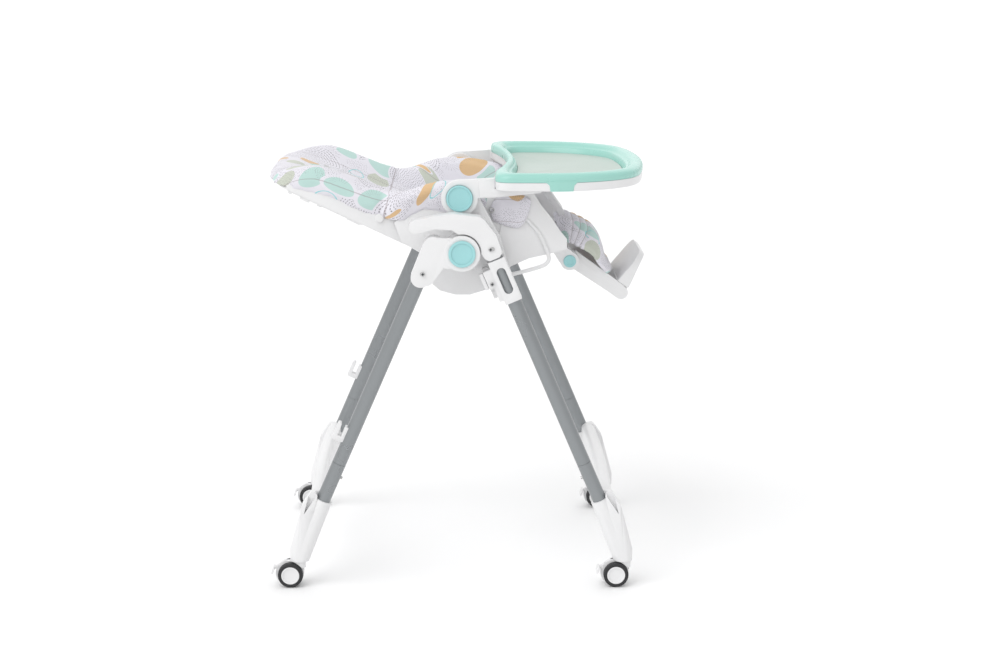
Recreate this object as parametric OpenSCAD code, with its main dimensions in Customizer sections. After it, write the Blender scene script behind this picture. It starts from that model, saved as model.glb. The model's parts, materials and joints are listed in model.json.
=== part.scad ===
/* [Leg frame] */
// Tilt of each leg from vertical
leg_tilt = 23.3; // [20:0.1:26]
// Height of the fold pivot above the floor
hub_z = 676; // [640:1:700]
// Fore-and-aft place of the fold pivot
hub_x = 15; // [0:1:20]
// Distance from the fold pivot to each leg's centre line
leg_offset = 55; // [50:1:60]
// Distance between the centre lines of the left and right legs
leg_spacing = 530; // [520:1:540]
// Outside diameter of the leg tubes
tube_d = 28; // [26:0.5:30]
// Wall of the leg tubes
tube_wall = 1.5; // [1:0.1:2]
// Length of leg from the pivot's foot point down to the foot socket
leg_to_socket = 566; // [560:1:575]
// Length of leg from the pivot's foot point down to the tube joint
leg_to_joint = 484; // [470:1:500]

/* [Casters] */
// Wheel diameter
wheel_d = 50; // [48:1:52]
// Width of each of a caster's two wheels
wheel_w = 14; // [12:1:15]
// Distance from a caster's swivel axis to its axle
trail = 16; // [12:1:18]

/* [Seat] */
// Outside width of the seat shell
seat_w = 392; // [380:1:394]
// Height of the armrest pivot above the floor
arm_hub_z = 777; // [770:1:780]
// Angle of the reclined backrest above horizontal
recline = 25; // [20:1:30]
// Length of the backrest from its hinge to its head end
back_length = 362; // [340:1:365]
// Angle of the leg rest below horizontal
leg_rest_drop = 36; // [30:1:40]

/* [Tray] */
// Width of the tray
tray_w = 576; // [560:1:580]
// Width of the raised rim round the tray
rim_w = 40; // [35:1:44]

/* [Hidden] */
$fn = 48;

white = "whitesmoke";
grey = "slategray";
mint = "paleturquoise";
cyan = "lightcyan";
sage = "darkseagreen";
fabric = "lavender";

run = 0.05;              // radial clearance of a running fit
tube_r = tube_d / 2;
tube_y = leg_spacing / 2;
seat_half = seat_w / 2;
wall = 3.5;

// Planes, counted outward from the middle.
frame_in = 249.5;
frame_out = 283;
carrier_in = 212;
carrier_out = 226.7;
arm_in = 228;
arm_out = 241;

// Fold hub
pin_r = 8;
ring_r = 34.6;
cap_r = 25.5;
disc_r = 38;
disc_out = 268;
ring_in = 268.4;
ring_out = 287.5;

// Foot and caster
stem_x = 340;
stem_r = 5.5;
wheel_r = wheel_d / 2;
foot_z = 52;
axle_r = 4;
brake_x = -trail - 23;
brake_z = 40;
brake_pin_r = 1.5;
crossbar_z = 170;

// Armrest pivot, behind the fold pivot's upright
arm_hub_x = 10;
arm_ring_r = 35.5;
arm_pin_r = 9;

// Height slider, along the front leg
slider_top = 38;
slider_end = 127;

// Tray levels
tray_z = 797;
tray_split_z = 814;
tray_top_z = 831;
tray_floor_z = 806;
tray_rear_x = 79;
tray_mid_x = 170;
belly_depth = 28;
belly_r = 839;

// Backrest hinge and leg rest hinge
back_x = -50;
back_z = 668;
back_under = 13;         // from the hinge line down to the backrest's underside
tray_front_x = back_length * cos(recline) + back_under * sin(recline) - back_x;
rod_r = 6;
lever_x = 232;
leg_hinge_x = 232;
leg_hinge_z = 634;
leg_half = 100;
leg_pin_r = 6;

// ---- Placing ----

module both_sides() {
  children();
  mirror([0, 1, 0]) children();
}

module side(s) {
  mirror([0, s < 0 ? 1 : 0, 0]) children();
}

// Swaps front for rear about the fold pivot
module rearward() {
  translate([2 * hub_x, 0, 0]) mirror([1, 0, 0]) children();
}

// Local z runs up the front leg's line and local x points forward of it
module on_leg() {
  translate([hub_x + leg_offset * cos(leg_tilt), 0, hub_z + leg_offset * sin(leg_tilt)])
    rotate([0, -leg_tilt, 0]) children();
}

// Local x runs up the backrest and local z stands off its face
module on_back() {
  translate([back_x, 0, back_z]) rotate([0, -recline, 180]) children();
}

// Local x runs down the leg rest and local z stands off its face
module on_leg_rest() {
  translate([leg_hinge_x, 0, leg_hinge_z]) rotate([0, leg_rest_drop, 0]) children();
}

// A drawing in x and z, made solid from y0 to y1
module slab(y0, y1) {
  translate([0, y1, 0]) rotate([90, 0, 0]) linear_extrude(y1 - y0) children();
}

// A round rod along y
module cross_rod(x, z, r, y0, y1) {
  translate([x, y1, z]) rotate([90, 0, 0]) cylinder(r = r, h = y1 - y0);
}

// A link between two rounds, in two dimensions
module link(a, b, ra, rb) {
  n = [b[1] - a[1], a[0] - b[0]] / norm(b - a);
  translate(a) circle(r = ra);
  translate(b) circle(r = rb);
  polygon([a + ra * n, b + rb * n, b - rb * n, a - ra * n]);
}

// Links from point to point, each point given as x, z and radius
module chain(pts) {
  for (i = [0 : len(pts) - 2])
    link([pts[i][0], pts[i][1]], [pts[i + 1][0], pts[i + 1][1]], pts[i][2], pts[i + 1][2]);
}

// ---- Leg frames: the front one is drawn, and the rear one is its mirror image ----

module leg_uppers(top) {
  both_sides() on_leg() translate([0, tube_y, -leg_to_joint]) difference() {
    cylinder(r = tube_r, h = leg_to_joint + top);
    translate([0, 0, -1]) cylinder(r = tube_r - tube_wall, h = leg_to_joint + top + 2);
  }
}

module leg_lowers() {
  both_sides() on_leg() translate([0, tube_y, -leg_to_joint - 0.6]) difference() {
    union() {
      translate([0, 0, -122]) cylinder(r = tube_r, h = 122);
      translate([0, 0, -1]) cylinder(r = tube_r - tube_wall, h = 45);
    }
    translate([0, 0, -123]) cylinder(r = tube_r - 2 * tube_wall, h = 170);
    translate([-tube_r, 0, -26]) rotate([0, 90, 0]) cylinder(r = 3.2, h = 8, center = true);
  }
}

// Base: two feet joined by a bowed crossbar, with a V notch in each outer wall
module base() {
  bow_r = 5400;
  bow_angle = asin(tube_y / bow_r);
  difference() {
    union() {
      translate([stem_x - 34 - bow_r, 0, crossbar_z]) rotate([0, 0, -bow_angle])
        rotate_extrude(angle = 2 * bow_angle, $fn = 720) translate([bow_r, 0]) crossbar_section();
      both_sides() translate([0, tube_y, 0]) foot();
    }
    both_sides() on_leg() translate([0, tube_y, -leg_to_socket - 42])
      cylinder(r = tube_r, h = 90);
    both_sides() translate([stem_x, tube_y, foot_z - 1]) cylinder(r = stem_r + run, h = 40);
    both_sides() slab(tube_y + 8, tube_y + 40)
      polygon([[299, 220], [316, 220], [316, 196], [327, 152], [304, 186]]);
  }
}

module crossbar_section() {
  difference() {
    union() {
      translate([-14, -16]) square([28, 34]);
      translate([0, 18]) scale([1, 0.6]) circle(r = 14);
      translate([0, -16]) scale([1, 0.6]) circle(r = 14);
    }
    translate([-11, -14]) square([22, 30]);
  }
}

module foot() {
  hull() {
    on_leg() translate([0, 0, -leg_to_socket - 12]) cylinder(r = tube_r + 4, h = 12, $fn = 32);
    translate([stem_x - 4, 0, foot_z]) cylinder(r = 17, h = 22, $fn = 32);
  }
  hull() {
    translate([320, 0, 162]) rotate([90, 0, 0]) cylinder(r = 13, h = 34, center = true, $fn = 32);
    translate([308, 0, 188]) rotate([90, 0, 0]) cylinder(r = 8, h = 30, center = true, $fn = 32);
    translate([stem_x, 0, foot_z]) cylinder(r = 17, h = 24, $fn = 32);
  }
}

// Everything inward of the brackets' flat inner face
module inner_side() {
  slab(200, frame_in) square(2000, center = true);
}

module front_bracket(s) {
  side(s) color(white) difference() {
    union() {
      slab(frame_in, disc_out) translate([hub_x, hub_z]) circle(r = disc_r);
      slab(frame_in, frame_out) {
        chain([[-75, 726, 12], [-38, 735, 12], [0, 737, 16], [40, 722, 26], [62, 700, 22]]);
        link([62, 700], [72, 680], 22, 19);
      }
      on_leg() translate([0, tube_y, -32]) cylinder(r = tube_r + 4, h = 50);
    }
    cross_rod(hub_x, hub_z, 37.4, disc_out, 300);
    cross_rod(hub_x, hub_z, pin_r, 240, 300);
    on_leg() translate([0, tube_y, -400]) cylinder(r = tube_r, h = 414);
    on_leg() translate([-50, 200, -100]) cube([100, 100, 65]);
    inner_side();
    slab(frame_out, 300) square(2000, center = true);
  }
}

module rear_bracket(s) {
  side(s) color(white) difference() {
    union() {
      slab(ring_in, ring_out) translate([hub_x, hub_z]) circle(r = ring_r);
      rearward() {
        slab(frame_in, frame_out) link([70, 688], [95, 628], 20, 19);
        slab(frame_in, frame_out) link([84, 626], [60, 655], 14, 12);
        slab(ring_in, frame_out) link([70, 688], [40, 676], 20, 30);
      }
    }
    cross_rod(hub_x, hub_z, disc_r + 0.8, 240, ring_in - 0.01);
    cross_rod(hub_x, hub_z, pin_r + run, 240, 300);
    cross_rod(hub_x, hub_z, cap_r + run, 279, 300);
    rearward() on_leg() translate([0, tube_y, -600]) cylinder(r = tube_r, h = 560);
    inner_side();
  }
}

module fold_button(s) {
  side(s) color(cyan) {
    cross_rod(hub_x, hub_z, cap_r, 284, 289);
    difference() {
      cross_rod(hub_x, hub_z, cap_r - 1, 283.5, 290.5);
      cross_rod(hub_x, hub_z, cap_r - 3, 289.6, 300);
    }
  }
}

// A round-headed screw along y, its head resting on the plane y
module screw(x, z, y) {
  cross_rod(x, z, 4, y, y + 2);
  cross_rod(x, z, 2, y - 8, y + 1);
}

module front_fasteners() {
  color("silver") both_sides() {
    cross_rod(hub_x, hub_z, pin_r, frame_in + 1, 278);
    screw(74, 685, frame_out);
    on_leg() translate([-tube_r, tube_y, -leg_to_joint - 26.6]) rotate([0, 90, 0])
      cylinder(r = 3, h = 7, center = true);
  }
}

module rear_fasteners() {
  color("silver") both_sides() rearward() {
    screw(92, 636, frame_out);
    on_leg() translate([-tube_r, tube_y, -leg_to_joint - 26.6]) rotate([0, 90, 0])
      cylinder(r = 3, h = 7, center = true);
  }
}

// Hooks on the rear legs that hold the tray when it is stored
module tray_hooks() {
  color(white) both_sides() rearward() on_leg() translate([0, tube_y, -441]) difference() {
    slab(-9, 9) {
      translate([8, 4]) square([26, 28]);
      link([14, 4], [30, 4], 4, 4);
      link([30, 4], [30, 32], 4, 4);
    }
    translate([0, 0, -9]) cylinder(r = tube_r, h = 60);
    translate([18, -20, 10]) cube([8, 40, 40]);
  }
}

// ---- Casters: drawn with the swivel axis on the z axis ----

module caster_at(front, s) {
  translate([front ? stem_x : 2 * hub_x - stem_x, s * tube_y, 0]) children();
}

module caster_hood(front, s) {
  caster_at(front, s) color(white) difference() {
    union() {
      slab(-5, 5) difference() {
        union() {
          translate([-trail - 2, wheel_r + 1]) circle(r = 28);
          link([-trail, 38], [-2, 38], 13, 13);
        }
        translate([-80, -20]) square([120, 30]);
        translate([-26, foot_z - 0.6]) square([60, 20]);
      }
      translate([0, 0, 38]) cylinder(r = 14, h = 13.4);
      translate([0, 0, 50]) cylinder(r = stem_r, h = 38);
    }
    cross_rod(-trail, wheel_r, axle_r + run, -20, 20);
    both_sides() cross_rod(-trail, wheel_r, wheel_r + 1, 5, 30);
    cross_rod(brake_x, brake_z, brake_pin_r + run, -20, 20);
    slab(-2.7, 2.7) link([brake_x, brake_z], [brake_x - 21, brake_z - 6], 5.5, 9);
  }
}

module caster_hubs(front, s) {
  caster_at(front, s) color(white) {
    cross_rod(-trail, wheel_r, axle_r, -7, 7);
    both_sides() difference() {
      cross_rod(-trail, wheel_r, wheel_r - 7, 6, 6 + wheel_w);
      cross_rod(-trail, wheel_r, wheel_r - 10, 6 + wheel_w - 2, 30);
    }
  }
}

module caster_tyres(front, s) {
  caster_at(front, s) color("dimgray") both_sides() translate([-trail, 6, wheel_r])
    rotate([-90, 0, 0]) rotate_extrude() tyre_section();
}

module tyre_section() {
  translate([wheel_r - 7, 0]) square([4, wheel_w]);
  translate([wheel_r - 4, 3]) square([4, wheel_w - 6]);
  translate([wheel_r - 3, 3]) circle(r = 3);
  translate([wheel_r - 3, wheel_w - 3]) circle(r = 3);
}

module caster_brake(front, s) {
  caster_at(front, s) color(white) {
    cross_rod(brake_x, brake_z, brake_pin_r, -4.6, 4.6);
    slab(-2.4, 2.4) link([brake_x, brake_z], [brake_x - 11, brake_z - 4], 4, 2.2);
    slab(-13, 13) link([brake_x - 11, brake_z - 4], [brake_x - 14, brake_z - 12], 2.2, 2);
  }
}

// ---- Seat carrier ----

module slider(s) {
  side(s) color(white) on_leg() difference() {
    union() {
      translate([-tube_r - 3, frame_in - 1, -slider_end])
        cube([2 * tube_r + 6, frame_out - frame_in, slider_end - slider_top]);
      translate([-34, frame_in + 6, -88]) cube([22, 20, 36]);
      translate([-25, frame_in + 6, -118]) cube([13, 20, 32]);
      translate([-34, 227, -112]) cube([42, 24, 62]);
    }
    translate([0, tube_y, -200]) cylinder(r = tube_r + run, h = 200);
    slab(tube_y + 2, tube_y + 40) link([0, -64], [0, -100], 9, 9);
  }
}

module height_trigger(s) {
  side(s) color(white) on_leg() translate([-42, frame_in + 8, -87]) cube([7, 16, 34]);
}

module carrier_arm(s) {
  side(s) color(white) difference() {
    slab(carrier_in, carrier_out) {
      chain([[90, 615, 22], [70, 690, 22], [arm_hub_x, arm_hub_z, 34]]);
      link([90, 615], [60, 645], 22, 20);
    }
    cross_rod(arm_hub_x, arm_hub_z, arm_pin_r, 200, 240);
  }
}

// Side outline of the seat's tub
function tub_outline() = [
  [150, 790], [170, 758], [190, 734], [208, 707], [222, 690], [222, 671], [187, 661], [147, 652],
  [112, 636], [84, 604], [63, 589], [31, 579], [2, 579], [-28, 587], [-43, 600], [-58, 640],
  [-70, 664], [-104, 684], [-118, 722], [-60, 780], [40, 792]
];

// Point i of that outline, moved inside it by depth
function tub_inside(i, depth) =
  let (along = tub_outline()[i + 1] - tub_outline()[i - 1])
  tub_outline()[i] + depth * [along[1], -along[0]] / norm(along);

module seat_shell() {
  floor_line = [for (i = [5 : 15]) [tub_inside(i, 3.2)[0], tub_inside(i, 3.2)[1], 2.4]];
  color(white) difference() {
    union() {
      both_sides() slab(seat_half - wall, seat_half) polygon(tub_outline());
      slab(-seat_half + 1, seat_half - 1) chain(floor_line);
      both_sides() {
        slab(leg_half + 5, leg_half + 26) link([200, 668], [leg_hinge_x, leg_hinge_z], 10, 18.5);
        cross_rod(arm_hub_x + 20, arm_hub_z - 40, 12, seat_half - 1, carrier_in);
        cross_rod(90, 640, 12, seat_half - 1, carrier_in);
      }
    }
    cross_rod(leg_hinge_x, leg_hinge_z, leg_pin_r + run, -300, 300);
    cross_rod(back_x, back_z, rod_r, -300, 300);
    both_sides() cross_rod(leg_hinge_x, leg_hinge_z, 12.6 + run, leg_half + 14, 300);
    on_leg_rest() translate([-14, -leg_half - 4.8, -16]) cube([60, 2 * leg_half + 9.6, 50]);
  }
}

// Loops at the seat's lower front corners that hold the tray's crumb apron
module side_loops() {
  color(white) both_sides() slab(seat_half + 0.3, seat_half + 9) difference() {
    chain([[117, 621, 5], [178, 636, 5], [187, 650, 5], [172, 667, 5], [124, 652, 5], [117, 621, 5]]);
    link([130, 637], [171, 650], 5, 5);
  }
}

// Curved post between the child's legs
module crotch_post() {
  color(white) slab(-32, 32)
    chain([[236, 664, 5], [230, 690, 6], [216, 722, 7], [200, 744, 7], [190, 760, 7]]);
}

module backrest_rod() {
  color("silver") cross_rod(back_x, back_z, rod_r, -seat_half, seat_half);
}

// Pad over the seat floor with a bolster up each side
module seat_cushion() {
  color(fabric) difference() {
    union() {
      slab(-150, 150) polygon([[-18, 598], [40, 592], [70, 606], [110, 655], [214, 688],
                             [214, 706], [150, 700], [96, 684], [40, 634], [-18, 630]]);
      both_sides() slab(149, 190) polygon([[-34, 640], [60, 606], [110, 655], [210, 690],
                             [150, 782], [60, 800], [-30, 801], [-118, 778], [-118, 742], [-70, 720]]);
    }
    cross_rod(back_x, back_z, rod_r + 2, -300, 300);
  }
}

// Lap and crotch webbing of the five-point harness, joined at the buckle
module harness() {
  color("gainsboro") {
    both_sides() slab(27, 148.4) link([38, 672], [62, 672], 1, 1);
    slab(-12, 12) link([77.4, 673], [81, 675], 1, 1);
  }
}

// Shoulder webbing lying on the backrest's pad
module shoulder_straps() {
  color("gainsboro") on_back() both_sides() slab(52, 78) link([70, 28], [250, 24.5], 1, 1);
}

module harness_buckle() {
  color(white) slab(-26, 26) link([56, 672], [70, 672], 6, 6);
}

// ---- Armrests and tray ----

module armrest(s) {
  side(s) color(white) difference() {
    union() {
      slab(arm_in, arm_out) {
        translate([arm_hub_x, arm_hub_z]) circle(r = arm_ring_r);
        polygon([[arm_hub_x, arm_hub_z + arm_ring_r], [tray_rear_x - 1, 816.5],
                 [tray_rear_x - 1, tray_z - 0.6], [168, tray_z - 0.6], [168, 783], [47, 777],
                 [arm_hub_x, arm_hub_z]]);
      }
      cross_rod(arm_hub_x, arm_hub_z, arm_pin_r - run, 213, arm_in + 1);
      slab(arm_out - 1, arm_out + 5)
        polygon([[46, 812], [tray_rear_x - 1, 816.5], [tray_rear_x - 1, tray_z - 0.6],
                 [168, tray_z - 0.6], [168, 783], [50, 779]]);
    }
    cross_rod(arm_hub_x, arm_hub_z, 26 + run, 236, 300);
  }
}

module armrest_button(s) {
  side(s) color(cyan) difference() {
    cross_rod(arm_hub_x, arm_hub_z, 26, 241, 245.5);
    cross_rod(arm_hub_x, arm_hub_z, 22, 244.6, 300);
  }
}

// Plan of the tray, drawn smaller by inset: a squared ellipse in front and rounded corners behind
function squared(v) = sign(v) * pow(abs(v), 0.86);

function tray_plan(inset) = concat(
  [for (a = [-90 : 5 : 90]) [tray_mid_x + (tray_front_x - tray_mid_x - inset) * squared(cos(a)),
                             (tray_w / 2 - inset) * squared(sin(a))]],
  [for (a = [0 : 15 : 90]) [tray_rear_x + inset + 26 - 26 * sin(a),
                            tray_w / 2 - inset - 26 + 26 * cos(a)]],
  [for (a = [90 : -15 : 0]) [tray_rear_x + inset + 26 - 26 * sin(a),
                             26 + inset - tray_w / 2 - 26 * cos(a)]]
);

module tray_shape(inset) {
  difference() {
    polygon(tray_plan(inset));
    translate([tray_rear_x + belly_depth - belly_r, 0]) circle(r = belly_r + inset * 0.55, $fn = 240);
  }
}

module tray_level(z0, z1, inset) {
  translate([0, 0, z0]) linear_extrude(z1 - z0) tray_shape(inset);
}

module tray_base() {
  color(white) {
    difference() {
      tray_level(tray_z, tray_split_z - 0.4, 2);
      tray_level(tray_z + 3, tray_split_z, 5);
      both_sides() tab_space(0.4);
    }
    both_sides() {
      translate([84, 223, 781]) cube([146, 4.6, tray_z - 780]);
      translate([84, 247, 781]) cube([146, 4, tray_z - 780]);
    }
  }
}

// The clip that hangs from the tray's side
module tab_space(gap) {
  translate([182 - gap, tray_w / 2 - 14, tray_z - 1]) cube([48 + 2 * gap, 30, 30]);
}

module tray_top() {
  color(mint) {
    difference() {
      union() {
        tray_level(tray_split_z, tray_top_z, 0);
        tray_level(tray_floor_z - 3, tray_split_z + 1, rim_w - 6);
      }
      tray_level(tray_floor_z, tray_top_z + 1, rim_w);
      difference() {
        tray_level(tray_split_z - 1, tray_top_z - 3, 3);
        tray_level(tray_split_z - 2, tray_top_z, rim_w - 4);
      }
    }
    both_sides() intersection() {
      tab_space(0);
      difference() {
        tray_level(tray_z, tray_split_z + 6, 0);
        tray_level(tray_z - 1, tray_split_z + 7, 3);
      }
    }
  }
}

module tray_insert() {
  color(sage) tray_level(tray_floor_z + 0.2, tray_floor_z + 3.2, rim_w + 1);
}

// ---- Backrest ----

module back_plate(x0, x1, half, z0, z1) {
  translate([x0, -half, z0]) cube([x1 - x0, 2 * half, z1 - z0]);
}

// The backrest's upper part, with rounded corners at its head
module back_head(x0, x1, half, z0, z1) {
  r = 62;
  back_plate(x0, x1 - r, half, z0, z1);
  back_plate(x1 - r - 1, x1, half - r, z0, z1);
  both_sides() translate([x1 - r, half - r, z0]) cylinder(r = r, h = z1 - z0);
}

module backrest_shell() {
  color(white) on_back() difference() {
    union() {
      back_plate(0, 150, 146, -back_under, 6);
      back_head(140, back_length, 186, -back_under, 10);
      both_sides() translate([0, 146, 0]) rotate([90, 0, 0]) cylinder(r = 12, h = 30);
      for (x = [132, 186]) back_plate(x, x + 24, 40, -24, -12);
      both_sides() slab(22, 28) link([lever_x, -19.5], [lever_x, -10], 6, 6);
    }
    back_plate(10, 150, 142, -9.5, 30);
    back_head(144, back_length - 4, 182, -9.5, 30);
    rotate([90, 0, 0]) cylinder(r = rod_r + run, h = 500, center = true);
    back_plate(-20, 14, 116, -30, 30);
    translate([lever_x, 0, -19.5]) rotate([90, 0, 0]) cylinder(r = 3.5 + run, h = 60, center = true);
  }
}

module recline_lever() {
  color(white) on_back() {
    translate([lever_x, 0, -19.5]) rotate([90, 0, 0]) cylinder(r = 3.5, h = 56, center = true);
    translate([lever_x, -20, -22]) cube([26, 40, 4]);
  }
}

module back_cushion() {
  color(fabric) on_back() {
    hull() {
      back_plate(40, 44, 138, -8, 26);
      back_plate(348, 354, 112, -6, 14);
    }
    both_sides() hull() {
      translate([152, 128, 13]) cube([10, 52, 50]);
      translate([250, 128, 13]) cube([10, 56, 44]);
      translate([320, 108, 13]) cube([12, 60, 6]);
      translate([344, 100, 13]) cube([8, 34, 2]);
    }
  }
}

// ---- Leg rest ----

module leg_rest() {
  color(white) on_leg_rest() difference() {
    union() {
      both_sides() slab(leg_half - 4, leg_half) {
        chain([[0, 4, 16], [104, 7, 14], [127, 7, 14]]);
        translate([0, -5]) square([124, 27]);
      }
      translate([20, -leg_half, -5]) cube([112, 2 * leg_half, 4]);
      rotate([90, 0, 0]) cylinder(r = leg_pin_r, h = 2 * leg_half + 25, center = true);
    }
    rotate([90, 0, 0]) cylinder(r = leg_pin_r - 2.5, h = 500, center = true);
  }
}

module foot_plate() {
  color(white) on_leg_rest() {
    translate([106, -leg_half + 4.3, -0.8]) cube([26, 2 * leg_half - 8.6, 24]);
    hull() {
      translate([107, -leg_half, 22.6]) cube([26, 2 * leg_half, 4]);
      both_sides() translate([110, leg_half - 36, 60]) rotate([0, 90, 0]) cylinder(r = 36, h = 12, $fn = 32);
    }
  }
}

module leg_rest_button(s) {
  side(s) color(cyan) difference() {
    cross_rod(leg_hinge_x, leg_hinge_z, 12.6, leg_half + 18.2, leg_half + 28);
    cross_rod(leg_hinge_x, leg_hinge_z, 9, leg_half + 17, leg_half + 25);
  }
}

module leg_rest_cushion() {
  color(fabric) on_leg_rest() hull() {
    translate([4, -118, 23.5]) cube([14, 236, 27]);
    translate([34, -118, 23.5]) cube([14, 236, 35]);
    translate([92, -110, 23.5]) cube([13, 220, 10]);
  }
}

color(white) base();  // front_base
color(grey) leg_uppers(14);  // front_leg_upper
color(grey) leg_lowers();  // front_leg_lower
front_bracket(-1);  // front_bracket_R
front_bracket(1);  // front_bracket_L
front_fasteners();
color(white) rearward() base();  // rear_base
color(grey) rearward() leg_uppers(-40);  // rear_leg_upper
color(grey) rearward() leg_lowers();  // rear_leg_lower
rear_bracket(-1);  // rear_bracket_R
rear_bracket(1);  // rear_bracket_L
rear_fasteners();
tray_hooks();
fold_button(-1);  // fold_button_R
fold_button(1);  // fold_button_L
caster_hood(true, -1);  // caster_hood_FR
caster_hood(true, 1);  // caster_hood_FL
caster_hood(false, -1);  // caster_hood_RR
caster_hood(false, 1);  // caster_hood_RL
caster_hubs(true, -1);  // caster_hubs_FR
caster_hubs(true, 1);  // caster_hubs_FL
caster_hubs(false, -1);  // caster_hubs_RR
caster_hubs(false, 1);  // caster_hubs_RL
caster_tyres(true, -1);  // caster_tyres_FR
caster_tyres(true, 1);  // caster_tyres_FL
caster_tyres(false, -1);  // caster_tyres_RR
caster_tyres(false, 1);  // caster_tyres_RL
caster_brake(true, -1);  // caster_brake_FR
caster_brake(true, 1);  // caster_brake_FL
caster_brake(false, -1);  // caster_brake_RR
caster_brake(false, 1);  // caster_brake_RL
slider(-1);  // slider_R
slider(1);  // slider_L
height_trigger(-1);  // height_trigger_R
height_trigger(1);  // height_trigger_L
carrier_arm(-1);  // carrier_arm_R
carrier_arm(1);  // carrier_arm_L
seat_shell();
side_loops();
crotch_post();
backrest_rod();
seat_cushion();
harness();
shoulder_straps();
harness_buckle();
armrest(-1);  // armrest_R
armrest(1);  // armrest_L
armrest_button(-1);  // armrest_button_R
armrest_button(1);  // armrest_button_L
tray_base();
tray_top();
tray_insert();
backrest_shell();
recline_lever();
back_cushion();
leg_rest();
foot_plate();
leg_rest_button(-1);  // leg_rest_button_R
leg_rest_button(1);  // leg_rest_button_L
leg_rest_cushion();
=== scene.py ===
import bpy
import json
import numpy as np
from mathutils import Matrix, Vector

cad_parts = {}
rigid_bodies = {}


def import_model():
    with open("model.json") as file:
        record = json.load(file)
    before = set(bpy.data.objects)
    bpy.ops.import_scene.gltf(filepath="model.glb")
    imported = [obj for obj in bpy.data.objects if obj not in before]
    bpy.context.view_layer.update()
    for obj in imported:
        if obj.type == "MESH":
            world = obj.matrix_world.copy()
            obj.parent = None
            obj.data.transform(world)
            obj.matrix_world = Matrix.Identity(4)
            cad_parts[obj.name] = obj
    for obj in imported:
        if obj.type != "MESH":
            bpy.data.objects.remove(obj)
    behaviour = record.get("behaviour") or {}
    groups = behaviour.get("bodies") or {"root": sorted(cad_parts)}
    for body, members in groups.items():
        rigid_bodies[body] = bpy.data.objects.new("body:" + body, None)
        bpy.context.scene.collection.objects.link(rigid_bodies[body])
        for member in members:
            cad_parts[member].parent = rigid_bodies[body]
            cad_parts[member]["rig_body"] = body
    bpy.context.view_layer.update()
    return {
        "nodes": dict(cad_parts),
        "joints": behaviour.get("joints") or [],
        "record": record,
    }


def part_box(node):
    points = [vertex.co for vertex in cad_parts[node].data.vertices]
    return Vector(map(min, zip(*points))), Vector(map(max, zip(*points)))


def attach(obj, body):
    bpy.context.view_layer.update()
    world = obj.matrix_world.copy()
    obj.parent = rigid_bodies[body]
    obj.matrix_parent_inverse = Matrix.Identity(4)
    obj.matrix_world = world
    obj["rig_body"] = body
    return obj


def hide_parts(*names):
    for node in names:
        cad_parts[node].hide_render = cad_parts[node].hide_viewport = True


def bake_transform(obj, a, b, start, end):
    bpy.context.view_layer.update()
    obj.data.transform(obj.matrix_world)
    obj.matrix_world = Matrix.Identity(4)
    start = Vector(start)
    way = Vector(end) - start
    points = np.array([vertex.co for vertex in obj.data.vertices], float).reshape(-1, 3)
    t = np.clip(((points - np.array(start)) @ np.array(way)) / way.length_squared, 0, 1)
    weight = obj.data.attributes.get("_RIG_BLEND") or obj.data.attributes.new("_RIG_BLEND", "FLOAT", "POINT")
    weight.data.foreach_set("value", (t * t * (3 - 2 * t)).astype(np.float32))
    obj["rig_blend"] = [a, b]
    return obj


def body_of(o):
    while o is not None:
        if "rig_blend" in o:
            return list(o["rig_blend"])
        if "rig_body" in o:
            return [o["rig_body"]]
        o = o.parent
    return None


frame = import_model()

import json
from functools import partialmethod
from math import atan2, cos, pi, radians, sin, sqrt

import bpy
import numpy as np
from mathutils import Matrix, Vector
from mathutils.bvhtree import BVHTree

bl_info = {
    "name": "Baby high chair",
    "version": (1, 0, 0),
    "blender": (4, 5, 0),
    "location": "3D View > Sidebar > High chair",
    "description": "Finishes the high chair round its packed frame",
    "category": "Object",
}

SLOT_OF = {part["node"]: part["material_slot"] for part in frame["record"]["subparts"]}
JOINT = {joint["name"]: joint for joint in frame["joints"]}
BACK_HINGE = Vector(JOINT["backrest_recline"]["pos_m"])
LEG_HINGE = Vector(JOINT["leg_rest_angle"]["pos_m"])
RECLINE = radians(25)
LEG_DROP = radians(36)
MM = 0.001
SIDES = ((-1, "R"), (1, "L"))  # the way along Y, and the tag in a piece's name


# ---- Small helpers ----

def only(piece):
    """Selects one object and makes it active, in object mode."""
    if bpy.context.object and bpy.context.object.mode != "OBJECT":
        bpy.ops.object.mode_set(mode="OBJECT")
    bpy.ops.object.select_all(action="DESELECT")
    piece.select_set(True)
    bpy.context.view_layer.objects.active = piece


def edit_all(piece):
    only(piece)
    bpy.ops.object.mode_set(mode="EDIT")
    bpy.ops.mesh.select_all(action="SELECT")


def object_mode():
    bpy.ops.object.mode_set(mode="OBJECT")


def apply_modifier(piece, kind, **values):
    only(piece)
    modifier = piece.modifiers.new(kind.title(), kind)
    for key, value in values.items():
        setattr(modifier, key, value)
    bpy.ops.object.modifier_apply(modifier=modifier.name)


def settle(piece, name, slot, body, finish=None, smooth=35, replaces=()):
    """Puts a finished piece's place in its mesh, and gives it its name, body and finish (the slot's finish unless one
    is given).
    """
    only(piece)
    bpy.ops.object.transform_apply(location=True, rotation=True, scale=True)
    piece.name = name
    piece.data.name = name
    piece.data.materials.clear()
    piece.data.materials.append(finish or finish_for(slot))
    only(piece)
    bpy.ops.object.shade_smooth_by_angle(angle=radians(smooth))
    if replaces:
        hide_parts(*replaces)
    if body:
        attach(piece, body)
    return piece


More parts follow.
